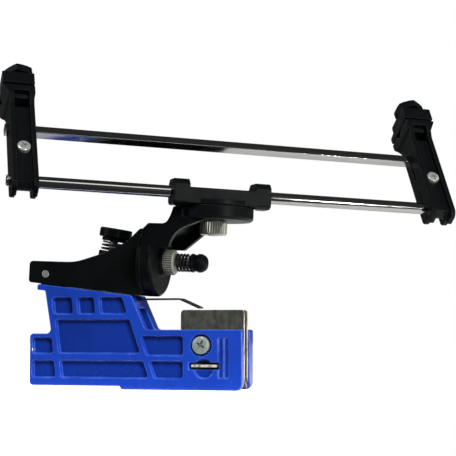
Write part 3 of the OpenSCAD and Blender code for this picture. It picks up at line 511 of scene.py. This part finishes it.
class Shop:
    """Mesh work that several sub-assemblies share."""

    SMOOTH_ANGLE: ClassVar[float] = math.radians(38.0)
    FLAT_ANGLE: ClassVar[float] = math.radians(0.4)
    SHARP_ANGLE: ClassVar[float] = math.radians(30.0)
    NODE_MERGE: ClassVar[float] = 2e-6
    POLE_MERGE: ClassVar[float] = 1e-7
    SEAM_MERGE: ClassVar[float] = 1e-6
    THREAD_STEPS: ClassVar[int] = 32
    THREAD_DEPTH: ClassVar[float] = 0.55
    THREAD_SHAPE: ClassVar[Profile] = [(1.0, 0.0), (1.0, 0.12), (0.0, 0.45), (0.0, 0.6)]
    THREAD_SPARE: ClassVar[int] = 2

    @classmethod
    def piece(cls, name: str, bm: BMesh) -> Object:
        """Makes an object from a bmesh, smooth except at its sharp edges.

        Args:
            name: Name of the piece.
            bm: The finished bmesh, which is freed.

        Returns:
            The new object, at the origin.
        """
        mesh = bpy.data.meshes.new(name)
        bm.to_mesh(mesh)
        bm.free()
        for polygon in mesh.polygons:
            polygon.use_smooth = True
        mesh.set_sharp_from_angle(angle=cls.SMOOTH_ANGLE)
        made = bpy.data.objects.new(name, mesh)
        bpy.context.scene.collection.objects.link(made)
        weighted = made.modifiers.new("even_normals", "WEIGHTED_NORMAL")
        weighted.keep_sharp = True
        return made

    @classmethod
    def copied(cls, node: str) -> BMesh:
        """Copies a node's shape with its points merged and its flat faces whole.

        Args:
            node: Name of the node.

        Returns:
            The copy, with layers for its rounded edges and for the painted shade of its sunk floors.
        """
        bm = bmesh.new()
        bm.from_mesh(frame["nodes"][node].data)
        bm.loops.layers.float.new(EDGE_LAYER)
        bm.loops.layers.float.new(SHADE_LAYER)
        bmesh.ops.remove_doubles(bm, verts=bm.verts, dist=cls.NODE_MERGE)
        bmesh.ops.dissolve_limit(bm, angle_limit=cls.FLAT_ANGLE, verts=bm.verts, edges=bm.edges)
        return bm

    @staticmethod
    def mark(bm: BMesh, layer: str, faces: list[BMFace]) -> None:
        """Notes in a layer which faces belong to it.

        Args:
            bm: The bmesh that has the faces.
            layer: Name of the layer.
            faces: The faces to note.
        """
        own = bm.loops.layers.float[layer]
        for loop in (loop for face in faces for loop in face.loops):
            loop[own] = 1.0

    @classmethod
    def rounded(cls, node: str, bm: BMesh, width: float, segments: int = 3, inner: bool = True) -> Object:
        """Rounds the sharp edges of a node's copy.

        Args:
            node: Name of the node.
            bm: The copy, which is freed.
            width: Width of the rounding in metres.
            segments: Steps of the rounding.
            inner: Whether inner corners get a fillet too.

        Returns:
            The rounded piece, which stands for the node and rides on its body.
        """
        turns = {edge: edge.calc_face_angle_signed(0.0) for edge in bm.edges if edge.is_manifold}
        sharp = [edge for edge, turn in turns.items() if (abs(turn) if inner else turn) > cls.SHARP_ANGLE]
        rounding = bmesh.ops.bevel(
            bm, geom=sharp, offset=width, offset_type="OFFSET", affect="EDGES", segments=segments,
            profile=0.5, material=-1, clamp_overlap=False,
        )
        # The rounding faces take the edge colour: wear on most finishes, a painted highlight on the enamel.
        cls.mark(bm, EDGE_LAYER, rounding["faces"])
        return cls.stand_for(cls.piece(f"{node}_rounded", bm), node)

    @classmethod
    def softened(cls, node: str, width: float, segments: int = 3) -> Object:
        """Returns a piece that stands for a node, with the node's shape and rounded edges."""
        return cls.rounded(node, cls.copied(node), width, segments)

    @staticmethod
    def stand_for(made: Object, node: str) -> Object:
        """Lets a piece replace a node and ride on the node's body.

        Args:
            made: The piece.
            node: Name of the node.

        Returns:
            The same piece.
        """
        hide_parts(node)
        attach(made, frame["nodes"][node]["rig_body"])
        return made

    @classmethod
    def turned(cls, profile: Profile, axis: Axis, steps: int = 48) -> BMesh:
        """Spins a profile round an axis.

        Args:
            profile: Radius and height of each point, from the first end to the last.
            axis: The line to spin round.
            steps: Steps of the full turn.

        Returns:
            A closed turned shape in the part's frame.
        """
        bm = bmesh.new()
        verts = [bm.verts.new((radius, 0.0, height)) for radius, height in profile]
        edges = [bm.edges.new(pair) for pair in zip(verts, verts[1:])]
        bmesh.ops.spin(
            bm, geom=verts + edges, cent=(0, 0, 0), axis=(0, 0, 1), angle=math.tau, steps=steps,
            use_merge=True,
        )
        bmesh.ops.remove_doubles(bm, verts=bm.verts, dist=cls.POLE_MERGE)
        bmesh.ops.recalc_face_normals(bm, faces=bm.faces)
        bmesh.ops.transform(bm, matrix=axis.matrix(), verts=bm.verts)
        return bm

    @staticmethod
    def block(side: float, low: float, high: float, edge: float, axis: Axis) -> BMesh:
        """Makes a square head with rounded edges.

        Args:
            side: Side of the square.
            low: Height of the first face along the axis.
            high: Height of the last face along the axis.
            edge: Width of the rounding.
            axis: The head's line.

        Returns:
            The closed block in the part's frame.
        """
        bm = bmesh.new()
        bmesh.ops.create_cube(bm, size=1.0)
        bmesh.ops.scale(bm, vec=(side, side, high - low), verts=bm.verts)
        bmesh.ops.translate(bm, vec=(0, 0, (low + high) / 2), verts=bm.verts)
        bmesh.ops.bevel(
            bm, geom=bm.edges[:], offset=edge, affect="EDGES", segments=3, profile=0.5, material=-1
        )
        bmesh.ops.transform(bm, matrix=axis.matrix(), verts=bm.verts)
        return bm

    @classmethod
    def threaded(cls, radius: float, pitch: float, low: float, high: float, axis: Axis) -> BMesh:
        """Makes a threaded rod with flat ends.

        Args:
            radius: Radius over the crests.
            pitch: Rise of one turn.
            low: Height of the first end along the axis.
            high: Height of the last end along the axis.
            axis: The rod's line.

        Returns:
            The closed rod in the part's frame.
        """
        depth = cls.THREAD_DEPTH * pitch
        turns = math.ceil((high - low) / pitch) + cls.THREAD_SPARE + 1
        start = low - cls.THREAD_SPARE * pitch
        bm = bmesh.new()
        verts = [
            bm.verts.new((radius - depth * sunk, 0.0, start + pitch * (turn + share)))
            for turn in range(turns) for sunk, share in cls.THREAD_SHAPE
        ]
        edges = [bm.edges.new(pair) for pair in zip(verts, verts[1:])]
        bmesh.ops.spin(
            bm, geom=verts + edges, cent=(0, 0, 0), axis=(0, 0, 1), dvec=(0, 0, pitch / cls.THREAD_STEPS),
            angle=math.tau, steps=cls.THREAD_STEPS,
        )
        bmesh.ops.remove_doubles(bm, verts=bm.verts, dist=cls.SEAM_MERGE)
        for height, up in ((low, -1), (high, 1)):
            bmesh.ops.bisect_plane(
                bm, geom=bm.verts[:] + bm.edges[:] + bm.faces[:], plane_co=(0, 0, height),
                plane_no=(0, 0, up), clear_outer=True,
            )
        bmesh.ops.holes_fill(bm, edges=[edge for edge in bm.edges if edge.is_boundary], sides=0)
        bmesh.ops.recalc_face_normals(bm, faces=bm.faces)
        bmesh.ops.transform(bm, matrix=axis.matrix(), verts=bm.verts)
        return bm

    @classmethod
    def carved(cls, target: Object, cutters: list[Object]) -> None:
        """Cuts shapes out of an object, one after the other, and removes the cutters.

        Args:
            target: The object to cut.
            cutters: The closed shapes to remove.
        """
        finishing = list(target.modifiers)
        for other in finishing:
            other.show_viewport = False
        cuts = []
        for cutter in cutters:
            cut = target.modifiers.new("cut", "BOOLEAN")
            cut.operation = "DIFFERENCE"
            cut.solver = "EXACT"
            cut.object = cutter
            cuts.append(cut)
        bpy.context.view_layer.update()
        shaped = target.evaluated_get(bpy.context.evaluated_depsgraph_get())
        solid = bpy.data.meshes.new_from_object(shaped)
        for cut in cuts:
            target.modifiers.remove(cut)
        for other in finishing:
            other.show_viewport = True
        solid.set_sharp_from_angle(angle=cls.SMOOTH_ANGLE)
        target.data = solid
        for cutter in cutters:
            bpy.data.objects.remove(cutter)


# Small components that several sub-assemblies use

@dataclass(frozen=True)
class CrossRecess:
    """A cross-shaped driver recess, with a shallow wide slot if the screw has one.

    The slot's width and depth are shares of the cross's own, and the taper narrows the recess at its bottom.
    """

    reach: float
    width: float
    depth: float
    slot_reach: float = 0.0
    slot_width: float = 0.8
    slot_depth: float = 0.5
    taper: Triple = (0.5, 0.8, 1.0)

    def cutters(self, axis: Axis, top: float, turn: float) -> list[Object]:
        """Makes the shapes that the recess removes.

        Args:
            axis: The screw's line, out of the head.
            top: Height of the head's top along the axis.
            turn: Angle of the cross in degrees.

        Returns:
            Closed cutters in the part's frame.
        """
        cross = (self.reach, self.width, self.depth)
        arms = [(*cross, turn), (*cross, turn + 90.0)]
        if self.slot_reach:
            arms.append((self.slot_reach, self.width * self.slot_width, self.depth * self.slot_depth, turn))
        return [self._arm(axis, top, *arm) for arm in arms]

    def _arm(self, axis: Axis, top: float, reach: float, width: float, depth: float, turn: float) -> Object:
        """Makes one tapered arm of the recess.

        Args:
            axis: The screw's line, out of the head.
            top: Height of the head's top along the axis.
            reach: Half length of the arm.
            width: Width of the arm.
            depth: Depth of the arm.
            turn: Angle of the arm in degrees.

        Returns:
            A closed cutter in the part's frame.
        """
        bm = bmesh.new()
        bmesh.ops.create_cube(bm, size=1.0)
        bmesh.ops.scale(bm, vec=(2 * reach, width, 2 * depth), verts=bm.verts)
        bmesh.ops.scale(bm, vec=self.taper, verts=[vert for vert in bm.verts if vert.co.z < 0])
        head = axis.matrix() @ Matrix.Translation((0, 0, top))
        place = head @ Matrix.Rotation(math.radians(turn), 4, "Z")
        bmesh.ops.transform(bm, matrix=place, verts=bm.verts)
        mesh = bpy.data.meshes.new("recess")
        bm.to_mesh(mesh)
        bm.free()
        made = bpy.data.objects.new("recess", mesh)
        bpy.context.scene.collection.objects.link(made)
        return made


@dataclass(frozen=True)
class Crown:
    """Top of a screw's head: its thickness, and shares of its radius with drops below its top."""

    thick: float
    steps: tuple[tuple[float, float], ...]

    def profile(self, radius: float, high: float) -> Profile:
        """Returns the crown's points from its rim to its middle."""
        return [(radius * share, high - drop) for share, drop in self.steps]


@dataclass(frozen=True)
class CoilSpring:
    """A compression spring wound along its node's line."""

    node: str
    slide: str
    wire: float
    curls: float
    curl_steps: int = 36
    wire_sides: int = 12
    gap: float = 0.2 * MM

    def build(self, axis: Axis) -> Object:
        """Winds the spring, lets it stand for its node and dresses it.

        Args:
            axis: The spring's line.

        Returns:
            The dressed piece.
        """
        low, high = axis.span(self.node)
        spring = Shop.piece(f"{self.node}_wire", self._wound(axis, low, high))
        SPRING_BLACK.dress(Shop.stand_for(spring, self.node))
        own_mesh(spring)
        return spring

    def _wound(self, axis: Axis, low: float, high: float) -> BMesh:
        """Winds the wire.

        Args:
            axis: The spring's line.
            low: Height of the first end along the axis.
            high: Height of the last end along the axis.

        Returns:
            The closed wire in the part's frame.
        """
        radius = axis.radius(self.node) - self.wire
        steps = round(self.curls * self.curl_steps)
        rise = high - low - 2 * self.wire
        bm = bmesh.new()
        end = bmesh.ops.create_circle(bm, cap_ends=True, radius=self.wire, segments=self.wire_sides)["verts"]
        bmesh.ops.rotate(bm, verts=end, cent=(0, 0, 0), matrix=Matrix.Rotation(math.pi / 2, 3, "X"))
        bmesh.ops.translate(bm, verts=end, vec=(radius, 0, low + self.wire))
        bmesh.ops.spin(
            bm, geom=bm.faces[:], cent=(0, 0, 0), axis=(0, 0, 1), dvec=(0, 0, rise / steps),
            angle=math.tau * self.curls, steps=steps,
        )
        bmesh.ops.recalc_face_normals(bm, faces=bm.faces)
        bmesh.ops.transform(bm, matrix=axis.matrix(), verts=bm.verts)
        return bm


@dataclass(frozen=True)
class KnurledNut:
    """A round nut with a straight knurl and a plain bore."""

    node: str
    depth: float
    teeth: int = 34
    chamfer: float = 0.8 * MM
    play: float = 0.05 * MM

    def build(self, axis: Axis, bolt: float) -> Object:
        """Returns the dressed nut, which runs on a thread of the given radius."""
        nut = Shop.piece(f"{self.node}_knurled", self._shape(axis, bolt + self.play))
        return NUT_STEEL.dress(Shop.stand_for(nut, self.node))

    def _shape(self, axis: Axis, bore: float) -> BMesh:
        """Bridges rings of points, drawn in at the knurl's valleys, which get the painted shade of sunk
        floors.

        Args:
            axis: The nut's line.
            bore: Radius of the bore.

        Returns:
            The closed nut in the part's frame.
        """
        low, high = axis.span(self.node)
        outer = axis.radius(self.node)
        face = outer - self.chamfer
        rows = [
            (bore, low, 0.0), (face, low, 0.0), (outer, low + self.chamfer, self.depth),
            (outer, high - self.chamfer, self.depth), (face, high, 0.0), (bore, high, 0.0),
        ]
        bm = bmesh.new()
        valley_shade = bm.loops.layers.float.new(SHADE_LAYER)
        rings = []
        valleys = []
        for radius, height, cut in rows:
            ring = bmesh.ops.create_circle(bm, radius=radius, segments=2 * self.teeth)["verts"]
            for vert in ring[::2]:
                vert.co *= (radius - cut) / radius
            bmesh.ops.translate(bm, verts=ring, vec=(0, 0, height))
            rings.append(ring)
            if cut:
                valleys += ring[::2]
        for this, after in zip(rings, rings[1:] + rings[:1]):
            edges = [
                edge for edge in bm.edges
                if all(vert in this for vert in edge.verts) or all(vert in after for vert in edge.verts)
            ]
            bmesh.ops.bridge_loops(bm, edges=edges)
        for loop in (loop for vert in valleys for loop in vert.link_loops):
            loop[valley_shade] = 1.0
        bmesh.ops.recalc_face_normals(bm, faces=bm.faces)
        bmesh.ops.transform(bm, matrix=axis.matrix(), verts=bm.verts)
        return bm


# Sub-assemblies

@dataclass
class BaseUnit:
    """Blue casting with its hinge pin."""

    edge: float = 0.5 * MM
    pin_edge: float = 0.3 * MM
    least_depth: float = 0.25 * MM
    facing: float = 0.95

    def build(self) -> list[Object]:
        """Rounds the casting and its pin, and returns the pieces."""
        return [self._casting(), ZINC_PLATE.dress(Shop.softened("hinge_pin", self.pin_edge))]

    def _casting(self) -> Object:
        """Marks the floors of the casting's pockets for a painted shade and rounds its edges.

        Returns:
            The dressed casting.
        """
        bm = Shop.copied("base_casting")
        low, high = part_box("base_casting")
        middle, half = (low[1] + high[1]) / 2, (high[1] - low[1]) / 2
        floors = [
            face for face in bm.faces
            if abs(face.normal.y) > self.facing
            and abs(face.calc_center_median().y - middle) < half - self.least_depth
        ]
        Shop.mark(bm, SHADE_LAYER, floors)
        return BLUE_ENAMEL.dress(Shop.rounded("base_casting", bm, self.edge))


@dataclass
class BarClamp:
    """Jaw plates, their rivets and the clamp screw."""

    edge: float = 0.22 * MM
    rivet_edge: float = 0.3 * MM
    sheet: float = 2.2 * MM
    rim: float = 0.2 * MM
    steps: int = 64
    turn: float = 62.0
    recess: CrossRecess = CrossRecess(3.3 * MM, 1.4 * MM, 2.2 * MM, 4.4 * MM)
    crown: Crown = Crown(
        3.2 * MM, ((1.0, 0.9 * MM), (0.95, 0.45 * MM), (0.85, 0.2 * MM), (0.6, 0.05 * MM), (0.0, 0.0))
    )

    def build(self) -> list[Object]:
        """Builds the plates, the rivets and the clamp screw.

        Returns:
            The pieces made.
        """
        plates = [self._plate(node) for node in ("fixed_jaw_plate", "moving_jaw_plate")]
        rivets = ZINC_PLATE.dress(Shop.softened("jaw_rivets", self.rivet_edge))
        return [*plates, rivets, self._screw()]

    def _plate(self, node: str) -> Object:
        """Rounds a plate and brightens its sheared edges, the faces that are as narrow as the sheet: the bare
        cut metal's lighter tone, raised into a painted highlight.

        Args:
            node: Name of the plate's node.

        Returns:
            The dressed plate.
        """
        bm = Shop.copied(node)
        narrow = [
            face for face in bm.faces
            if face.calc_area() < self.sheet * max(edge.calc_length() for edge in face.edges)
        ]
        Shop.mark(bm, EDGE_LAYER, narrow)
        return SHEET_STEEL.dress(Shop.rounded(node, bm, self.edge))

    def _screw(self) -> Object:
        """Turns the clamp screw and cuts its cross and slot.

        Returns:
            The dressed screw.
        """
        out = Axis.of_joint("clamp_turn").towards_head("clamp_screw")
        low, high = out.span("clamp_screw")
        head = out.radius("clamp_screw")
        shank = out.radius("clamp_screw", low - TOUCH, low + TOUCH)
        under = high - self.crown.thick
        stem = [
            (0.0, low), (shank, low), (shank, under), (head - self.rim, under), (head, under + self.rim),
        ]
        shape = Shop.turned(stem + self.crown.profile(head, high), out, self.steps)
        screw = Shop.piece("clamp_screw_head", shape)
        Shop.carved(screw, self.recess.cutters(out, high, self.turn))
        return SCREW_STEEL.dress(Shop.stand_for(screw, "clamp_screw"))


@dataclass
class ChainStop:
    """Bent spring strip that the chain's cutters rest on."""

    edge: float = 0.2 * MM
    edge_steps: int = 2
    screw_edge: float = 0.4 * MM

    def build(self) -> list[Object]:
        """Rounds and dresses the strip and its screw, and returns the pieces."""
        return [
            STRIP_STEEL.dress(Shop.softened("chain_stop", self.edge, self.edge_steps)),
            ZINC_PLATE.dress(Shop.softened("chain_stop_screw", self.screw_edge)),
        ]


@dataclass
class HingeArm:
    """Black arm and its height adjuster."""

    edge: float = 0.45 * MM
    knob_edge: float = 0.3 * MM
    under_slope: float = 7.06
    slope_slack: float = 0.5
    skirt: float = 0.55 * MM
    tail: float = 4.0 * MM
    pitch: float = 1.0 * MM
    spring: CoilSpring = CoilSpring("height_spring", "height_travel", wire=0.5 * MM, curls=2.25)

    def build(self) -> list[Object]:
        """Builds the arm, the height screw, its knob and its spring.

        Returns:
            The pieces made.
        """
        arm = self._arm()
        knob = BLACK_PLASTIC.dress(Shop.softened("height_knob", self.knob_edge))
        axis = Axis.of_joint("height_turn")
        low, high = axis.span("height_screw")
        radius = axis.radius("height_screw")
        screw = Shop.piece("height_screw_thread", Shop.threaded(radius, self.pitch, low, high, axis))
        ZINC_PLATE.dress(Shop.stand_for(screw, "height_screw"))
        return [arm, knob, screw, self.spring.build(axis)]

    def _arm(self) -> Object:
        """Brings the arm's underside down to the casting's top and rounds its edges.

        Returns:
            The dressed arm.
        """
        bm = Shop.copied("hinge_arm")
        slope, slack = math.radians(self.under_slope), math.radians(self.slope_slack)
        down = Vector((-math.sin(slope), 0.0, -math.cos(slope)))
        under = {vert for face in bm.faces if face.normal.angle(down) < slack for vert in face.verts}
        level = max(vert.co.dot(down) for vert in under)
        end = min(vert.co.x for vert in bm.verts) + self.tail
        for vert in bm.verts:
            share = 1.0 - (level - vert.co.dot(down)) / self.tail
            if vert in under or (vert.co.x < end and share > 0.0):
                vert.co += down * self.skirt * share
        return BLACK_PLASTIC.dress(Shop.rounded("hinge_arm", bm, self.edge))


@dataclass
class TiltClamp:
    """Stud, knurled nut, stop spring and domed cap of the tilt axis."""

    pitch: float = 1.0 * MM
    head: float = 10.0 * MM
    head_thick: float = 3.5 * MM
    head_edge: float = 0.4 * MM
    cap_edge: float = 0.15 * MM
    cap_steps: int = 2
    nut: KnurledNut = KnurledNut("tilt_nut", depth=0.5 * MM)
    spring: CoilSpring = CoilSpring("stop_spring", "stop_cap_press", wire=0.62 * MM, curls=4.0)

    def build(self) -> list[Object]:
        """Builds the pieces along the tilt axis.

        Returns:
            The pieces made.
        """
        axis = Axis.of_joint("tilt_nut_turn")
        low, high = axis.span("tilt_stud")
        _, nut_high = axis.span("tilt_nut")
        radius = axis.radius("tilt_stud", nut_high, high)
        neck = low + self.head_thick
        stud = Shop.piece("tilt_stud_thread", Shop.threaded(radius, self.pitch, neck, high, axis))
        head = Shop.piece("tilt_stud_head", Shop.block(self.head, low, neck, self.head_edge, axis))
        for half in (stud, head):
            ZINC_PLATE.dress(Shop.stand_for(half, "tilt_stud"))
        nut = self.nut.build(axis, radius)
        spring = self.spring.build(axis)
        cap = BLACK_PLASTIC.dress(Shop.softened("stop_cap", self.cap_edge, self.cap_steps))
        return [stud, head, nut, spring, cap]


@dataclass
class Swivel:
    """Elbow bracket, carriage, swivel bolt and knurled nut."""

    edge: float = 0.45 * MM
    pitch: float = 1.0 * MM
    shoulder: float = 3.4 * MM
    past_disc: float = 1.01
    sunk_head: float = 2.0 * MM
    neck: float = 0.6
    nut: KnurledNut = KnurledNut("swivel_nut", depth=0.55 * MM)
    crown: Crown = Crown(
        2.8 * MM, ((1.0, 2.8 * MM), (1.0, 1.6 * MM), (0.9, 0.9 * MM), (0.62, 0.3 * MM), (0.0, 0.0))
    )

    def build(self) -> list[Object]:
        """Builds the pieces along the swivel axis.

        Returns:
            The pieces made.
        """
        elbow = self._elbow()
        carriage = Shop.rounded("carriage", Shop.copied("carriage"), self.edge, inner=False)
        BLACK_PLASTIC.dress(carriage)
        axis = Axis.of_joint("swivel_nut_turn")
        low, high = axis.span("swivel_bolt")
        _, nut_high = axis.span("swivel_nut")
        radius = axis.radius("swivel_bolt", low, nut_high)
        thread = Shop.threaded(radius, self.pitch, low, high - self.sunk_head, axis)
        shank = Shop.piece("swivel_bolt_thread", thread)
        rim = self.crown.profile(axis.radius("swivel_bolt"), high)
        dome = Shop.turned([(radius * self.neck, high - self.crown.thick), *rim], axis)
        head = Shop.piece("swivel_bolt_dome", dome)
        for half in (shank, head):
            ZINC_PLATE.dress(Shop.stand_for(half, "swivel_bolt"))
        return [elbow, carriage, shank, head, self.nut.build(axis, radius)]

    def _elbow(self) -> Object:
        """Eases the shoulder's corner over the tilt disc and rounds the elbow's other edges.

        Returns:
            The dressed elbow.
        """
        bm = Shop.copied("elbow_bracket")
        tilt = Axis.of_joint("elbow_tilt")
        measures = dict(zip(bm.verts, tilt.polar(vert.co for vert in bm.verts)))
        mate = min((height for height, _ in measures.values()), key=abs)
        reaches = {
            vert: reach for vert, (height, reach) in measures.items() if abs(height - mate) < TOUCH
        }
        disc = max(reach for vert, reach in reaches.items() if vert.co.z < tilt.origin.z)
        corner = [
            edge for edge in bm.edges
            if all(reaches.get(vert, 0.0) > disc * self.past_disc for vert in edge.verts)
        ]
        bmesh.ops.bevel(
            bm, geom=corner, offset=self.shoulder, affect="EDGES", segments=1, profile=0.5, material=-1,
            clamp_overlap=False,
        )
        return BLACK_PLASTIC.dress(Shop.rounded("elbow_bracket", bm, self.edge))


@dataclass
class RodFrame:
    """Guide rod, spacer bar and the end arms with their pinch screws."""

    edge: float = 0.4 * MM
    rod_edge: float = 0.2 * MM
    rod_steps: int = 2
    bar_edge: float = 0.35 * MM
    knob_edge: float = 0.25 * MM
    nut_edge: float = 0.25 * MM
    bolt_edge: float = 0.2 * MM
    shank: float = 0.57
    turns: tuple[float, float] = (25.0, 8.0)
    recess: CrossRecess = CrossRecess(2.5 * MM, 1.2 * MM, 1.8 * MM)
    crown: Crown = Crown(
        2.3 * MM, ((1.0, 1.0 * MM), (0.95, 0.5 * MM), (0.82, 0.2 * MM), (0.55, 0.05 * MM), (0.0, 0.0))
    )

    def build(self) -> list[Object]:
        """Builds the rods, the end arms and their fasteners.

        Returns:
            The pieces made.
        """
        made = [
            ROD_CHROME.dress(Shop.softened("guide_rod", self.rod_edge, self.rod_steps)),
            ROD_CHROME.dress(Shop.softened("spacer_bar", self.bar_edge)),
        ]
        for side in ("left", "right"):
            for part in ("end_arm", "clamp_plate", "file_jaw"):
                made.append(BLACK_PLASTIC.dress(Shop.softened(f"{side}_{part}", self.edge)))
            made.append(BLACK_PLASTIC.dress(Shop.softened(f"{side}_file_knob", self.knob_edge)))
        made.append(ZINC_PLATE.dress(Shop.softened("pinch_nuts", self.nut_edge)))
        made.append(BOLT_BLACK.dress(Shop.softened("clamp_bolts", self.bolt_edge)))
        return made + self._pinch_screws()

    def _pinch_screws(self) -> list[Object]:
        """Turns the two pan-head screws and cuts their crosses.

        Returns:
            The dressed screws, the left one first.
        """
        along = Axis.of_joint("frame_roll").direction
        out = along.cross(Axis.of_joint("left_knob_turn").direction)
        points = [vertex.co for vertex in frame["nodes"]["pinch_screws"].data.vertices]
        middle = sum(point.dot(along) for point in points) / len(points)
        screws = []
        for side, sign, turn in zip(("left", "right"), (-1, 1), self.turns):
            own = [point for point in points if (point.dot(along) - middle) * sign > 0]
            line = Axis(sum(own, Vector()) / len(own), out)
            heights, reaches = zip(*line.polar(own))
            low, high, wide = min(heights), max(heights), max(reaches)
            under = high - self.crown.thick
            stem = [(0.0, low), (wide * self.shank, low), (wide * self.shank, under), (wide, under)]
            shape = Shop.turned(stem + self.crown.profile(wide, high), line)
            screw = Shop.piece(f"pinch_screw_{side}", shape)
            Shop.carved(screw, self.recess.cutters(line, high, turn))
            screws.append(ZINC_PLATE.dress(Shop.stand_for(screw, "pinch_screws")))
        return screws


# Studio

@dataclass(frozen=True)
class SoftBox:
    """A square soft light that faces the object, with the share of it that polished faces mirror."""

    name: str
    place: Triple
    size: float
    power: float
    mirrored: float = 1.0

    def build(self, target: Vector) -> None:
        """Hangs the light, in two layers where polished faces mirror only a share of it.

        Args:
            target: Point that the light faces.
        """
        self._hang(self.name, self.power * self.mirrored, target)
        if self.mirrored < 1.0:
            veiled = self._hang(f"{self.name}_veiled", self.power * (1.0 - self.mirrored), target)
            veiled.visible_glossy = False

    def _hang(self, name: str, power: float, target: Vector) -> Object:
        """Hangs one layer of the light.

        Args:
            name: Name of the layer.
            power: Power in watts.
            target: Point that the layer faces.

        Returns:
            The new light.
        """
        lamp = bpy.data.lights.new(name, "AREA")
        lamp.shape = "SQUARE"
        lamp.size = self.size
        lamp.energy = power
        made = bpy.data.objects.new(name, lamp)
        made.location = self.place
        made.rotation_euler = (target - made.location).to_track_quat("-Z", "Y").to_euler()
        bpy.context.scene.collection.objects.link(made)
        return made


@dataclass
class Studio:
    """Pale floor, soft lights and the photograph's camera."""

    azimuth: float = 16.0
    rise: float = 4.5
    lens: float = 103.9
    sensor: float = 36.0
    nearest: float = 0.01
    eye: Vector = field(default_factory=lambda: Vector((202.43, -666.29, 7.10)) * MM)
    floor_side: float = 1.4
    floor_front: float = 0.03
    paper_shade: float = 0.92
    paper_rough: float = 0.9
    paper_specular: float = 0.1
    glow: float = 1.0
    fill: float = 0.05
    target: Vector = field(default_factory=lambda: Vector((0.0, 0.0, 0.05)))
    boxes: tuple[SoftBox, ...] = (
        SoftBox("key_box", (0.75, -0.85, 0.75), 0.45, 20.0, 0.06),
        SoftBox("side_glint_box", (1.1, -0.75, 0.02), 0.04, 4.5),
        SoftBox("top_glint_box", (-0.12, -0.70, 0.90), 0.05, 3.0),
        SoftBox("left_box", (-1.1, -0.8, 0.5), 0.4, 2.5),
        SoftBox("left_back_box", (-2.4, 0.6, 2.2), 1.6, 34.0, 0.2),
        SoftBox("right_back_box", (2.8, 0.9, 2.0), 1.6, 33.0, 0.2),
        SoftBox("back_box", (-1.1, 2.1, 1.0), 1.0, 18.0, 0.3),
    )

    def build(self) -> None:
        """Makes the floor, the lights and the camera."""
        self._floor()
        self._world()
        for box in self.boxes:
            box.build(self.target)
        self._camera()
        bpy.context.scene.view_settings.view_transform = "Standard"

    def _floor(self) -> None:
        """Makes the pale floor, which looks evenly white to the camera alone."""
        bm = bmesh.new()
        bmesh.ops.create_grid(bm, x_segments=1, y_segments=1, size=self.floor_side)
        middle = Vector((0.0, self.floor_side - self.floor_front, CAD_BOX[0].z))
        bmesh.ops.translate(bm, verts=bm.verts, vec=middle)
        floor = Shop.piece("studio_floor", bm)
        paper = bpy.data.materials.new("pale_paper")
        paper.use_nodes = True
        nodes = paper.node_tree.nodes
        shader = nodes["Principled BSDF"]
        shader.inputs["Base Color"].default_value = (*[self.paper_shade] * 3, 1.0)
        shader.inputs["Roughness"].default_value = self.paper_rough
        shader.inputs["Specular IOR Level"].default_value = self.paper_specular
        shader.inputs["Emission Color"].default_value = (1.0, 1.0, 1.0, 1.0)
        seen = nodes.new("ShaderNodeLightPath")
        glow = nodes.new("ShaderNodeMath")
        glow.operation = "MULTIPLY"
        glow.inputs[1].default_value = self.glow
        link_nodes(
            paper.node_tree, (seen, "Is Camera Ray", glow, 0), (glow, "Value", shader, "Emission Strength")
        )
        floor.data.materials.append(paper)

    def _world(self) -> None:
        """Makes the surroundings: white to the camera and a faint fill to the object."""
        world = bpy.data.worlds.new("studio_fill")
        world.use_nodes = True
        nodes = world.node_tree.nodes
        sky = nodes["Background"]
        sky.inputs["Color"].default_value = (1.0, 1.0, 1.0, 1.0)
        seen = nodes.new("ShaderNodeLightPath")
        strength = nodes.new("ShaderNodeMapRange")
        strength.inputs["To Min"].default_value = self.fill
        strength.inputs["To Max"].default_value = self.glow
        link_nodes(
            world.node_tree, (seen, "Is Camera Ray", strength, "Value"), (strength, "Result", sky, "Strength")
        )
        bpy.context.scene.world = world

    def _camera(self) -> None:
        """Puts the camera at the photograph's view."""
        turn, rise = math.radians(self.azimuth), math.radians(self.rise)
        right = Vector((math.cos(turn), math.sin(turn), 0.0))
        ahead = Vector((-math.sin(turn) * math.cos(rise), math.cos(turn) * math.cos(rise), math.sin(rise)))
        up = right.cross(ahead)
        lens = bpy.data.cameras.new("photo_view")
        lens.sensor_width = self.sensor
        lens.lens = self.lens
        lens.clip_start = self.nearest
        camera = bpy.data.objects.new("photo_view", lens)
        pose = Matrix((right, up, -ahead)).transposed().to_4x4()
        camera.matrix_world = Matrix.Translation(self.eye) @ pose
        bpy.context.scene.collection.objects.link(camera)
        bpy.context.scene.camera = camera


def main() -> None:
    """Builds every sub-assembly, reports each piece, then builds the studio."""
    logging.basicConfig(level=logging.INFO, format="%(name)s: %(message)s")
    for unit in (BaseUnit(), BarClamp(), ChainStop(), HingeArm(), TiltClamp(), Swivel(), RodFrame()):
        for piece in unit.build():
            LOG.info("%s made %s", type(unit).__name__, piece.name)
    Studio().build()
    LOG.info("studio lit")


if __name__ == "__main__":
    main()
